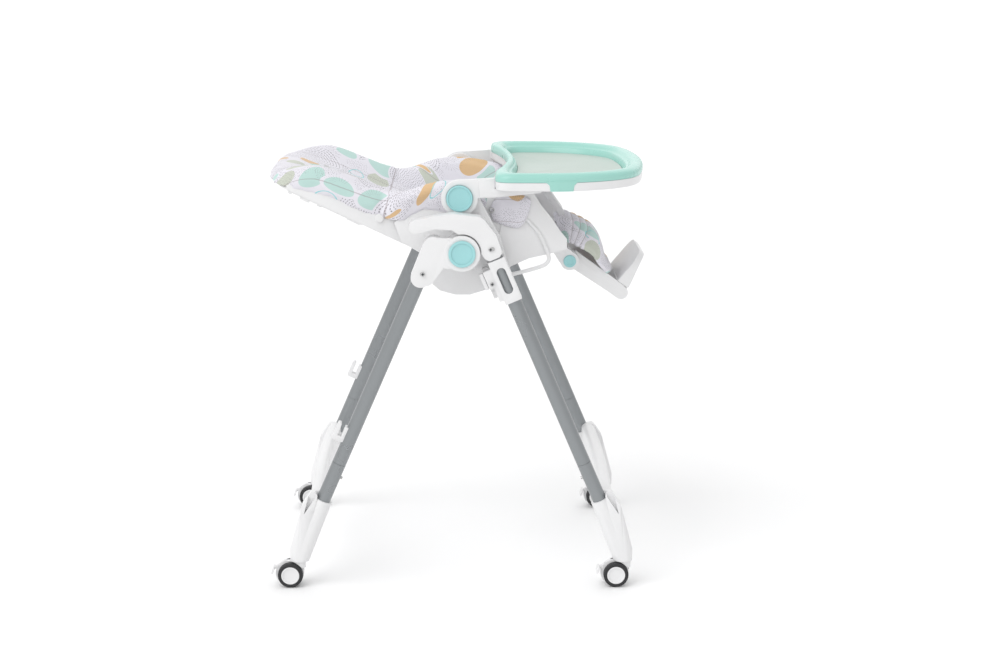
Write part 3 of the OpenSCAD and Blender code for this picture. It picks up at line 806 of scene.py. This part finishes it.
class CHAIR_OT_screw_heads(bpy.types.Operator):
    """Adds round screw heads on the brackets and sliders, each with a near-black cross of painted shade for its
    recess
    """
    bl_idname = "chair.screw_heads"
    bl_label = "Screw heads"

    def execute(self, context):
        # the recess is the screw's own metal: this near-black colour is painted shade for the shade inside the cross
        recess_shade = moulded("Painted screw recess shade", (0.03, 0.035, 0.04), 0.4, grain=800.0, bump=0.1)
        for name, node, x, z, body in (("front", "front_bracket_R", 0.070, 0.684, "front_frame"),
                                       ("rear", "rear_bracket_R", -0.0605, 0.636, "rear_frame"),
                                       ("slider", "slider_R", 0.0735, 0.6155, "seat_carrier")):
            face = max(-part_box(node)[0].y, -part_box(name + "_fasteners")[0].y if name != "slider" else 0)
            for side, tag in SIDES:
                bpy.ops.object.select_all(action="DESELECT")
                bpy.ops.mesh.primitive_cylinder_add(vertices=32, radius=0.0042, depth=0.0024, rotation=(pi / 2, 0, 0),
                                                    location=(x, side * (face - 0.0006), z))
                piece = bpy.context.object
                apply_modifier(piece, "BEVEL", width=0.0009, segments=3, limit_method="ANGLE")
                settle(piece, f"screw_{name}_{tag}", "steel", body)
                # a thin near-black cross laid on the head: painted shade where the recess is
                arms = []
                for turn in (0, 1):
                    wide, high = (0.0056, 0.0019) if turn else (0.0019, 0.0056)
                    bpy.ops.mesh.primitive_cube_add(size=1, location=(x, side * (face + 0.0003), z),
                                                    scale=(wide, 0.0008, high))
                    arms.append(bpy.context.object)
                cross = joined(arms)
                apply_modifier(cross, "BEVEL", width=0.0002, segments=2, limit_method="ANGLE")
                settle(cross, f"screw_recess_shade_{name}_{tag}", "steel", body, recess_shade)
        return {"FINISHED"}


# ---- Soft parts ----

def smooth_keys(keys, count):
    """Spreads count rows evenly along a few key rows, on a smooth curve through them."""
    keys = np.array(keys, float)
    lift, run = np.diff(keys[:, 2:5], axis=0), np.diff(keys[:, 0:2], axis=0)
    steps = np.linalg.norm(lift, axis=1) + 0.25 * np.linalg.norm(run, axis=1)
    where = np.concatenate([[0], np.cumsum(np.maximum(steps, 1e-3))])
    return curve_through(keys, where, count, pull=0.8)


def tufted(piece, voxel, cap, pressure, rounds=6, frames=16):
    """Remeshes a pad, fills it with air as cloth, caps how far it swells and smooths it."""
    only(piece)
    piece.data.remesh_voxel_size = voxel
    bpy.ops.object.voxel_remesh()
    apply_modifier(piece, "SMOOTH", factor=0.5, iterations=rounds)
    start = np.array([v.co for v in piece.data.vertices], float)
    only(piece)
    bpy.ops.object.modifier_add(type="CLOTH")
    cloth = piece.modifiers[-1]
    cloth.settings.use_pressure = True
    cloth.settings.uniform_pressure_force = pressure
    cloth.settings.tension_stiffness = 12
    cloth.settings.compression_stiffness = 12
    cloth.settings.bending_stiffness = 0.4
    cloth.settings.quality = 4
    cloth.settings.effector_weights.gravity = 0
    cloth.point_cache.frame_start = 1
    cloth.point_cache.frame_end = frames
    scene = bpy.context.scene
    for number in range(1, frames + 1):
        scene.frame_set(number)
    bpy.ops.object.modifier_apply(modifier=cloth.name)
    scene.frame_set(1)
    end = np.array([v.co for v in piece.data.vertices], float)
    move = end - start
    size = np.linalg.norm(move, axis=1, keepdims=True)
    end = start + move * np.minimum(1, cap / np.maximum(size, 1e-9))
    piece.data.vertices.foreach_set("co", end.ravel())
    piece.data.update()


def cloth_map(piece, points, faces, flat):
    """Lays the flat cloth's coordinates over a finished pad, from the nearest point of its pattern."""
    tree = BVHTree.FromPolygons([tuple(p) for p in points], faces)
    mesh = piece.data
    spread = np.zeros((len(mesh.vertices), 2))
    for i, vertex in enumerate(mesh.vertices):
        place, _, index, _ = tree.find_nearest(vertex.co)
        a, b, c = faces[index]
        one, two, off = points[b] - points[a], points[c] - points[a], np.array(place) - points[a]
        d11, d12, d22, d1, d2 = one @ one, one @ two, two @ two, off @ one, off @ two
        rest = d11 * d22 - d12 * d12
        v, w = ((d22 * d1 - d12 * d2) / rest, (d11 * d2 - d12 * d1) / rest) if rest > 1e-18 else (0.0, 0.0)
        spread[i] = flat[a] + v * (flat[b] - flat[a]) + w * (flat[c] - flat[a])
    layer = mesh.uv_layers.get("cloth") or mesh.uv_layers.new(name="cloth")
    loops = np.zeros(len(mesh.loops), int)
    mesh.loops.foreach_get("vertex_index", loops)
    layer.data.foreach_set("uv", spread[loops].ravel())
    return tree


def cloth_point(tree, points, faces, flat, where):
    """The flat cloth coordinates of the pattern's point nearest to a place."""
    place, _, index, _ = tree.find_nearest(where)
    near = min(faces[index], key=lambda k: np.linalg.norm(points[k] - np.array(place)))
    return float(flat[near][0]), float(flat[near][1])


def closed_sheet(name, upper, lower):
    """A closed mesh from two grids of points that meet round their edges, and the upper one's cloth pattern."""
    long, wide = len(upper), len(upper[0])
    points = [p for row in upper for p in row] + [p for row in lower for p in row]
    base = wide * long
    faces = []
    for i in range(long - 1):
        for j in range(wide - 1):
            a = i * wide + j
            faces.append((a, a + 1, a + wide + 1, a + wide))
            faces.append((base + a, base + a + wide, base + a + wide + 1, base + a + 1))
        for j in (0, wide - 1):
            a, b = i * wide + j, (i + 1) * wide + j
            faces.append((a, b, base + b, base + a))
    for i in (0, long - 1):
        for j in range(wide - 1):
            a = i * wide + j
            faces.append((a, a + 1, base + a + 1, base + a))
    piece = mesh_piece(name, points, faces)
    top = np.array([list(p) for p in points[:base]], float)
    grid = top.reshape(long, wide, 3)
    along, side = np.zeros((long, wide)), np.zeros((long, wide))
    along[1:] = np.cumsum(np.linalg.norm(np.diff(grid, axis=0), axis=2), axis=0)
    side[:, 1:] = np.cumsum(np.linalg.norm(np.diff(grid, axis=1), axis=2), axis=1)
    side -= side[:, wide // 2:wide // 2 + 1]
    even = np.median(along, axis=1, keepdims=True)
    flat = np.stack([np.repeat(even, wide, axis=1), side], axis=2).reshape(-1, 2) * 10
    triangles = []
    for i in range(long - 1):
        for j in range(wide - 1):
            a = i * wide + j
            triangles += [(a, a + 1, a + wide + 1), (a, a + wide + 1, a + wide)]
    return piece, top, triangles, flat


def lofted_pad(name, rows, across):
    """A closed pad lofted along its rows: across() gives each row's upper and lower points, middle to edge."""
    upper, lower = [], []
    for row in rows:
        over, under = across(row)
        upper.append([Vector((p.x, -p.y, p.z)) for p in over[:0:-1]] + over)
        lower.append([Vector((p.x, -p.y, p.z)) for p in under[:0:-1]] + under)
    return closed_sheet(name, upper, lower)


def liner_rows():
    """Rows from head to knees: middle, crest and hem (x, z each), crest and edge half widths, wall share, padding."""
    def on_back(up, middle, crest, hem, half, thick):
        m, c, h = back_point(up, middle), back_point(up, crest), back_point(up, hem)
        return [m.x, m.z, c.x, c.z, h.x, h.z, 0.89 * half, half, (12 - middle) / max(crest - middle, 8), thick]

    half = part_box("backrest_shell")[1].y + 0.006
    rows = []
    for up, middle, crest, hem, share in (
            (353, -9, -9, -14, 0.30), (352, -5, -4, -15, 0.47), (349, -1, 1, -16, 0.61), (343, 3, 7, -16, 0.74),
            (334, 8, 14, -15, 0.845), (321, 14, 24, -11, 0.93), (305, 18, 36, -5, 0.98), (286, 19, 47, 0, 1),
            (262, 21, 57, 5, 1), (235, 23, 61, 9, 1), (205, 24, 63, 11, 1), (175, 25, 65, 10, 1),
            (148, 25, 67, 11, 1), (124, 25, 70, 14, 1)):
        thick = 0.024 if up < 330 else 0.008 + 0.0007 * (353 - up)
        rows.append(on_back(up, middle, crest, hem, half * share, thick))
    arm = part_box("seat_shell")[1].y - 0.016
    wing = arm + 0.0075
    for values in ((-118, 733, -122, 783, -117, 728), (-92, 716, -100, 786, -98, 729), (-66, 694, -78, 793, -80, 739),
                   (-38, 664, -50, 802, -58, 748), (0, 642, -20, 808, -22, 750), (40, 640, 25, 809, 30, 747)):
        rows.append([MM * v for v in values] + [wing - 0.021, wing, 0.84, 0.020])
    for values, inset in (((82, 670, 72, 803, 74, 760), 6), ((118, 690, 108, 792, 108, 775), 14),
                          ((148, 700, 138, 760, 138, 750), 34), ((170, 705, 160, 716, 162, 708), 56)):
        rows.append([MM * v for v in values] + [arm - MM * (inset + 10), arm - MM * inset, 0.6, 0.016])
    return smooth_keys(rows, 84)


def liner_across(row):
    mx, mz, cx, cz, hx, hz, crest_y, edge_y, wall, thick = row
    middle, crest, hem = Vector((mx, 0, mz)), Vector((cx, 0, cz)), Vector((hx, 0, hz))
    rise = crest - middle
    down = rise.normalized() * thick if rise.length > 0.004 else Vector((0.3, 0, 0.9)) * thick
    tuck = edge_y - 0.0125

    def at(share, y):
        point = middle + rise * share
        return Vector((point.x, y, point.z))

    def skirt(start, share, y):
        point = (middle + rise * start).lerp(hem, share)
        return Vector((point.x, y, point.z))

    over = [at(0.0, 0), at(0.0, 0.28 * crest_y), at(0.02, 0.5 * crest_y), at(0.10, 0.66 * crest_y),
            at(0.34, 0.79 * crest_y), at(0.68, 0.88 * crest_y), at(0.92, 0.95 * crest_y), at(1.0, crest_y),
            at(0.985, 0.5 * (crest_y + edge_y)), skirt(0.95, 0.08, edge_y - 0.0035), skirt(0.9, 0.4, edge_y),
            skirt(0.9, 0.72, edge_y + 0.0006), skirt(0.9, 1.0, edge_y - 0.0005)]
    under = [at(0.0, 0) - down, at(0.0, 0.28 * crest_y) - down, at(0.0, 0.5 * crest_y) - down,
             at(0.0, 0.68 * crest_y) - down, at(min(0.2, 0.3 * wall), tuck - 0.006), at(0.55 * wall, tuck - 0.001),
             at(0.8 * wall, tuck), at(0.97 * wall, tuck + 0.0005), at(wall, edge_y - 0.0085),
             skirt(wall, 0.3, edge_y - 0.008), skirt(wall, 0.6, edge_y - 0.008),
             skirt(wall, 0.85, edge_y - 0.0078), skirt(wall, 1.0, edge_y - 0.007)]
    return over, under


class CHAIR_OT_liner(bpy.types.Operator):
    """Makes the padded fabric liner over the backrest and seat, in one printed piece"""
    bl_idname = "chair.liner"
    bl_label = "Seat liner"

    def execute(self, context):
        look = context.scene.chair_look
        piece, points, faces, flat = lofted_pad("liner", liner_rows(), liner_across)
        tufted(piece, look.voxel, look.swell, 3.5)
        tree = cloth_map(piece, points, faces, flat)
        wanted = (("tan", (40, 180, 783), 0.33, 0.27, 0.2), ("sage", (-53, 178, 768), 0.28, 0.26, 0.1),
                  ("mint", (-156, 165, 780), 0.34, 0.24, 0.5), ("mint", (-226, 165, 817), 0.24, 0.14, 0.2),
                  ("tan", (-352, 40, 820), 0.20, 0.14, 0.4), ("sage", (-300, -168, 815), 0.34, 0.15, 0.0),
                  ("mint", (-225, -190, 797), 0.32, 0.15, 0.1), ("mint", (-157, -192, 762), 0.30, 0.22, 0.0),
                  ("arcs", (-96, -194, 770), 0.50, 0.46, 0.0), ("arcs", (-100, 175, 765), 0.42, 0.42, 0.0),
                  ("arcs", (-290, 120, 815), 0.62, 0.5, 0.0), ("ring", (-30, -196, 785), 0.17, 0.17, 0.0),
                  ("ring", (-205, 120, 775), 0.18, 0.18, 0.0), ("rays", (-12, 178, 775), 0.26, 0.2, 0.0),
                  ("rays", (-280, 150, 828), 0.4, 0.3, 0.0), ("tan", (-112, -194, 738), 0.13, 0.05, 0.0),
                  ("mint", (-352, -150, 798), 0.12, 0.08, 0.0), ("sage", (140, 170, 770), 0.2, 0.14, 0.3),
                  ("ring", (-250, -190, 775), 0.24, 0.12, 0.0), ("tan", (-70, 160, 800), 0.2, 0.05, 0.0))
        motifs = [(kind, *cloth_point(tree, points, faces, flat, Vector(where) * MM), ru, rv, turn)
                  for kind, where, ru, rv, turn in wanted]
        # the two fold seams and the valley seam between back and seat are darkened with painted shade along their
        # creases
        fold = abs(cloth_point(tree, points, faces, flat, Vector((-206, -190, 792)) * MM)[1])
        valley = cloth_point(tree, points, faces, flat, Vector((-120, 160, 783)) * MM)[0]
        cloth = printed_fabric("Printed liner cotton", motifs, look.fabric,
                               shaded_seams=((1, fold, 0.012), (1, fold * 0.57, 0.012), (0, valley, 0.014)))
        settle(piece, "seat_liner", "printed_fabric", None, cloth, smooth=80,
               replaces=("seat_cushion", "back_cushion"))
        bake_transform(piece, "seat_carrier", "backrest", start=back_point(24, 0), end=back_point(128, 0))
        return {"FINISHED"}


def leg_pad_rows():
    """Rows from the seat's edge down: middle line x and z, hem x and z, half width, padding."""
    keys = ((206, 708, 214, 676, 98, 7), (222, 714, 223, 674, 108, 10), (240, 709, 232, 672, 114, 11),
            (258, 701, 242, 670, 116, 12), (272, 694, 252, 665, 117, 12), (285, 684, 264, 661, 118, 12),
            (295, 668, 277, 655, 118, 12), (301, 650, 288, 646, 118, 12), (304, 634, 296, 632, 116, 12),
            (312, 618, 304, 619, 113, 12), (322, 607, 310, 608, 110, 10))
    return smooth_keys([[MM * v for v in key] for key in keys], 54)


def leg_pad_across(row):
    mx, mz, ex, ez, half, thick = row
    middle, edge = Vector((mx, 0, mz)), Vector((ex, 0, ez))
    normal = Vector((sin(LEG_DROP), 0, cos(LEG_DROP)))
    over, under = [], []
    for share, fall in ((0, 0), (0.2, 0.01), (0.4, 0.03), (0.58, 0.08), (0.74, 0.2), (0.87, 0.45), (0.96, 0.76),
                        (1.0, 1.0)):
        point = middle.lerp(edge, fall)
        over.append(Vector((point.x, share * half, point.z)))
        inner = point - normal * thick * (1 - 0.35 * share)
        under.append(Vector((inner.x, share * (half - 0.006), inner.z)))
    return over, under


class CHAIR_OT_leg_rest_pad(bpy.types.Operator):
    """Makes the quilted pad that hangs from the seat's front edge over the leg rest"""
    bl_idname = "chair.leg_rest_pad"
    bl_label = "Leg rest pad"

    def execute(self, context):
        look = context.scene.chair_look
        piece, points, faces, flat = lofted_pad("leg pad", leg_pad_rows(), leg_pad_across)
        tufted(piece, 0.0045, 0.004, 2.5, rounds=4)
        tree = cloth_map(piece, points, faces, flat)
        # stitched channels: sunk in the mesh, and darkened along them with painted shade
        channels = (0.36, 0.52, 0.68)
        mesh = piece.data
        layer = mesh.uv_layers["cloth"]
        along = np.zeros(len(mesh.vertices))
        for loop in mesh.loops:
            along[loop.vertex_index] = layer.data[loop.index].uv[0]
        normals = np.array([v.normal for v in mesh.vertices], float)
        places = np.array([v.co for v in mesh.vertices], float)
        dip = sum(np.exp(-((along - c) / 0.035) ** 2) for c in channels)
        places -= normals * (0.0022 * dip)[:, None]
        mesh.vertices.foreach_set("co", places.ravel())
        mesh.update()
        wanted = (("mint", (0, 66, -60), 0.30, 0.28, 0.2), ("ring", (14, 60, -80), 0.2, 0.2, 0.0),
                  ("sage", (26, 40, -104), 0.26, 0.2, 0.0), ("mint", (40, 56, 10), 0.3, 0.3, 0.4),
                  ("tan", (70, 40, 70), 0.3, 0.26, 0.0), ("arcs", (60, 45, -20), 0.5, 0.5, 0.0))
        motifs = [(kind, *cloth_point(tree, points, faces, flat, leg_point(*where)), ru, rv, turn)
                  for kind, where, ru, rv, turn in wanted]
        cloth = printed_fabric("Printed leg rest cotton", motifs, look.fabric,
                               shaded_seams=tuple((0, c, 0.012) for c in channels))
        settle(piece, "leg_rest_pad", "printed_fabric", None, cloth, smooth=80, replaces=("leg_rest_cushion",))
        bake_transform(piece, "seat_carrier", "leg_support", start=Vector((0.214, 0, 0.70)), end=Vector((0.262, 0, 0.69)))
        return {"FINISHED"}


class CHAIR_OT_corner_flaps(bpy.types.Operator):
    """Makes the liner's gathered corner flaps, snapped to the seat below each armrest"""
    bl_idname = "chair.corner_flaps"
    bl_label = "Corner flaps"

    def execute(self, context):
        look = context.scene.chair_look
        shell = 0.196
        outline = ((70, 744, 752), (74, 729, 764), (84, 722, 775), (98, 717, 781), (112, 713, 783), (126, 712, 781),
                   (137, 722, 777), (146, 742, 773), (150, 758, 768))
        for side, tag in SIDES:
            upper, lower = [], []
            for x in np.linspace(outline[0][0], outline[-1][0], 34):
                low = np.interp(x, [o[0] for o in outline], [o[1] for o in outline])
                high = np.interp(x, [o[0] for o in outline], [o[2] for o in outline])
                over, under = [], []
                for k in range(13):
                    z = low + (high - low) * k / 12
                    swell = sqrt(max(0.0, 1 - (k / 6 - 1) ** 4)) * min(1, (x - 68) / 22, (153 - x) / 16)
                    pleat = 0.9 * sin(atan2(z - 748, x - 64) * 13) * max(0, 1 - (x - 70) / 60)
                    over.append(Vector((x, side * (1000 * shell + 3 + (7.5 + pleat) * max(0.0, swell)), z)) * MM)
                    under.append(Vector((x, side * (1000 * shell + 0.8), z)) * MM)
                upper.append(over)
                lower.append(under)
            piece, points, faces, flat = closed_sheet("flap", upper, lower)
            tufted(piece, 0.003, 0.0025, 2.0, rounds=3)
            cloth_map(piece, points, faces, flat)
            # its one seam line is darkened with painted shade along its crease
            cloth = bpy.data.materials.get("Corner flap cotton") or printed_fabric(
                "Corner flap cotton", [("rays", 0.4, -0.1, 0.2, 0.15, 0.0)], look.fabric, shaded_seams=((1, 0.22, 0.01),))
            settle(piece, f"corner_flap_{tag}", "printed_fabric", "seat_carrier", cloth, smooth=80)
            bpy.ops.object.select_all(action="DESELECT")
            bpy.ops.mesh.primitive_torus_add(major_radius=0.0042, minor_radius=0.0016, major_segments=32,
                                             minor_segments=12, rotation=(pi / 2, 0, 0),
                                             location=(0.0735, side * (shell + 0.0065), 0.748))
            settle(bpy.context.object, f"snap_ring_{tag}", "steel", "seat_carrier")
        return {"FINISHED"}


def strap(name, path, width, thick, body, replaces=(), across=(0, 1, 0)):
    """A flat strap of webbing along a path of points, with a slightly thicker woven edge."""
    shape = ((-0.5, 0.5), (-0.46, 0.62), (-0.4, 0.5), (0.4, 0.5), (0.46, 0.62), (0.5, 0.5), (0.5, -0.5), (-0.5, -0.5))
    piece = swept(name, path, [(u * width, v * thick) for u, v in shape], across)
    return settle(piece, name, "webbing", body, smooth=40, replaces=replaces)


class CHAIR_OT_harness(bpy.types.Operator):
    """Makes the harness webbing that lies on the liner"""
    bl_idname = "chair.harness"
    bl_label = "Harness"

    def execute(self, context):
        low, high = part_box("harness_buckle")
        middle = (low + high) / 2
        for side, tag in SIDES:
            path = [back_point(up, 30 + 3 * sin(up / 22.0), side * 65) for up in range(78, 262, 6)]
            strap(f"shoulder_strap_{tag}", path, 0.024, 0.0018, "backrest", ("shoulder_straps",) if side > 0 else ())
            path = []
            for k in range(18):
                t = k / 17
                path.append(Vector((middle.x - 0.006 - 0.012 * t, side * (0.027 + 0.118 * t),
                                    middle.z + 0.004 + 0.022 * t * t)))
            strap(f"lap_strap_{tag}", path, 0.024, 0.0018, "seat_carrier", ("harness",) if side > 0 else (),
                  across=(1, 0, 0.1))
        return {"FINISHED"}


# ---- Stage ----

class CHAIR_OT_stage(bpy.types.Operator):
    """Sets the camera, the pale floor and the soft lights"""
    bl_idname = "chair.stage"
    bl_label = "Stage"

    def execute(self, context):
        look = context.scene.chair_look
        yaw, pitch, roll = look.camera_yaw, look.camera_pitch, look.camera_roll
        ahead = Vector((sin(yaw) * cos(pitch), cos(yaw) * cos(pitch), -sin(pitch)))
        right = Vector((cos(yaw), -sin(yaw), 0))
        up = right.cross(ahead)
        right, up = cos(roll) * right + sin(roll) * up, cos(roll) * up - sin(roll) * right
        turn = Matrix((right, up, -ahead)).transposed().to_4x4()
        bpy.ops.object.camera_add()
        camera = context.object
        camera.matrix_world = Matrix.Translation(Vector(look.camera_place)) @ turn
        camera.data.lens = look.camera_lens
        camera.data.sensor_width = 36
        camera.data.clip_end = 100
        context.scene.camera = camera

        bpy.ops.object.select_all(action="DESELECT")
        bpy.ops.mesh.primitive_plane_add(size=36, location=(0, 4, -0.0004))
        floor = context.object
        floor.name = "floor"
        material, nodes, surface = new_material("Pale studio floor")
        cloud = nodes.noise(nodes.object_point(), 3.0, 4.0)
        nodes.put(surface.inputs["Base Color"], nodes.mix(cloud, (0.93, 0.93, 0.935, 1), (0.95, 0.95, 0.95, 1)))
        surface.inputs["Roughness"].default_value = 0.7
        floor.data.materials.append(material)

        world = bpy.data.worlds.new("Studio")
        context.scene.world = world
        world.use_nodes = True
        tree = Nodes(world.node_tree)
        background = world.node_tree.nodes["Background"]
        seen = tree.add("ShaderNodeLightPath").outputs["Is Camera Ray"]
        tree.put(background.inputs[1], tree.between(seen, 0.0, 1.0, look.surround, 1.15))
        background.inputs[0].default_value = (1.0, 1.0, 1.0, 1)
        for place, power, spread in (((-0.55, -0.50, 0.75), look.key, 0.9),
                                     ((0.1, 0.8, 0.6), look.key * 0.35, 1.2)):
            bpy.ops.object.light_add(type="SUN", location=Vector(place) * 3)
            lamp = context.object
            lamp.rotation_euler = Vector(place).to_track_quat("Z", "Y").to_euler()
            lamp.data.energy = power
            lamp.data.angle = spread
        context.scene.view_settings.view_transform = "Standard"
        return {"FINISHED"}


def tint(name, description, default):
    return bpy.props.FloatVectorProperty(name=name, description=description, default=default, subtype="COLOR")


class ChairLook(bpy.types.PropertyGroup):
    """The colours, softness, lights and camera that the steps use"""

    white: tint("White plastic", "Colour of the moulded white parts", (0.77, 0.77, 0.775))
    mint: tint("Tray", "Colour of the meal tray", (0.33, 0.63, 0.56))
    turquoise: tint("Buttons", "Colour of the round buttons", (0.33, 0.63, 0.645))
    sage: tint("Tray liner", "Colour of the tray's liner", (0.44, 0.52, 0.475))
    tube: tint("Leg tubes", "Colour of the leg tubes' paint", (0.27, 0.285, 0.295))
    fabric: tint("Cotton", "Ground colour of the printed cotton", (0.78, 0.765, 0.82))
    edge_round: bpy.props.FloatProperty(name="Edge rounding", description="Multiplies every moulded edge's radius",
                                        default=1.0, min=0.2, max=2.0)
    voxel: bpy.props.FloatProperty(name="Cloth grain", description="Spacing of the liner's points",
                                   default=0.005, min=0.003, max=0.01, unit="LENGTH")
    swell: bpy.props.FloatProperty(name="Swell", description="Most that the liner's padding swells",
                                   default=0.005, min=0.0, max=0.02, unit="LENGTH")
    key: bpy.props.FloatProperty(name="Key light", description="Strength of the main light", default=1.25, min=0.0)
    surround: bpy.props.FloatProperty(name="Surround", description="Strength of the studio surround",
                                      default=0.80, min=0.0)
    camera_place: bpy.props.FloatVectorProperty(name="Camera place", description="Where the camera stands",
                                                default=(0.0097, -3.8884, 1.2981), subtype="TRANSLATION",
                                                 unit="LENGTH")
    camera_yaw: bpy.props.FloatProperty(name="Camera yaw", description="Turn of the camera to the right",
                                        default=radians(1.26), subtype="ANGLE")
    camera_pitch: bpy.props.FloatProperty(name="Camera pitch", description="Tilt of the camera downwards",
                                          default=radians(12.19), subtype="ANGLE")
    camera_roll: bpy.props.FloatProperty(name="Camera roll", description="Roll of the camera",
                                         default=radians(0.33), subtype="ANGLE")
    camera_lens: bpy.props.FloatProperty(name="Lens", description="Focal length in millimetres",
                                         default=68.4, min=20, max=200)


class CHAIR_PT_panel(bpy.types.Panel):
    """Lists the high chair's steps and looks"""
    bl_idname = "CHAIR_PT_panel"
    bl_label = "High chair"
    bl_space_type = "VIEW_3D"
    bl_region_type = "UI"
    bl_category = "High chair"

    def draw(self, context):
        for step in STEPS:
            self.layout.operator(step.bl_idname)
        for key in ChairLook.__annotations__:
            self.layout.prop(context.scene.chair_look, key)


STEPS = (CHAIR_OT_stage, CHAIR_OT_hard_parts, CHAIR_OT_meal_tray, CHAIR_OT_details, CHAIR_OT_screw_heads,
         CHAIR_OT_liner, CHAIR_OT_leg_rest_pad, CHAIR_OT_corner_flaps, CHAIR_OT_harness)
CLASSES = (ChairLook, *STEPS, CHAIR_PT_panel)


def register():
    for one in CLASSES:
        bpy.utils.register_class(one)
    bpy.types.Scene.chair_look = bpy.props.PointerProperty(type=ChairLook)


def unregister():
    del bpy.types.Scene.chair_look
    for one in reversed(CLASSES):
        bpy.utils.unregister_class(one)


def main():
    register()
    for step in STEPS:
        group, name = step.bl_idname.split(".")
        getattr(getattr(bpy.ops, group), name)()


if __name__ == "__main__":
    main()
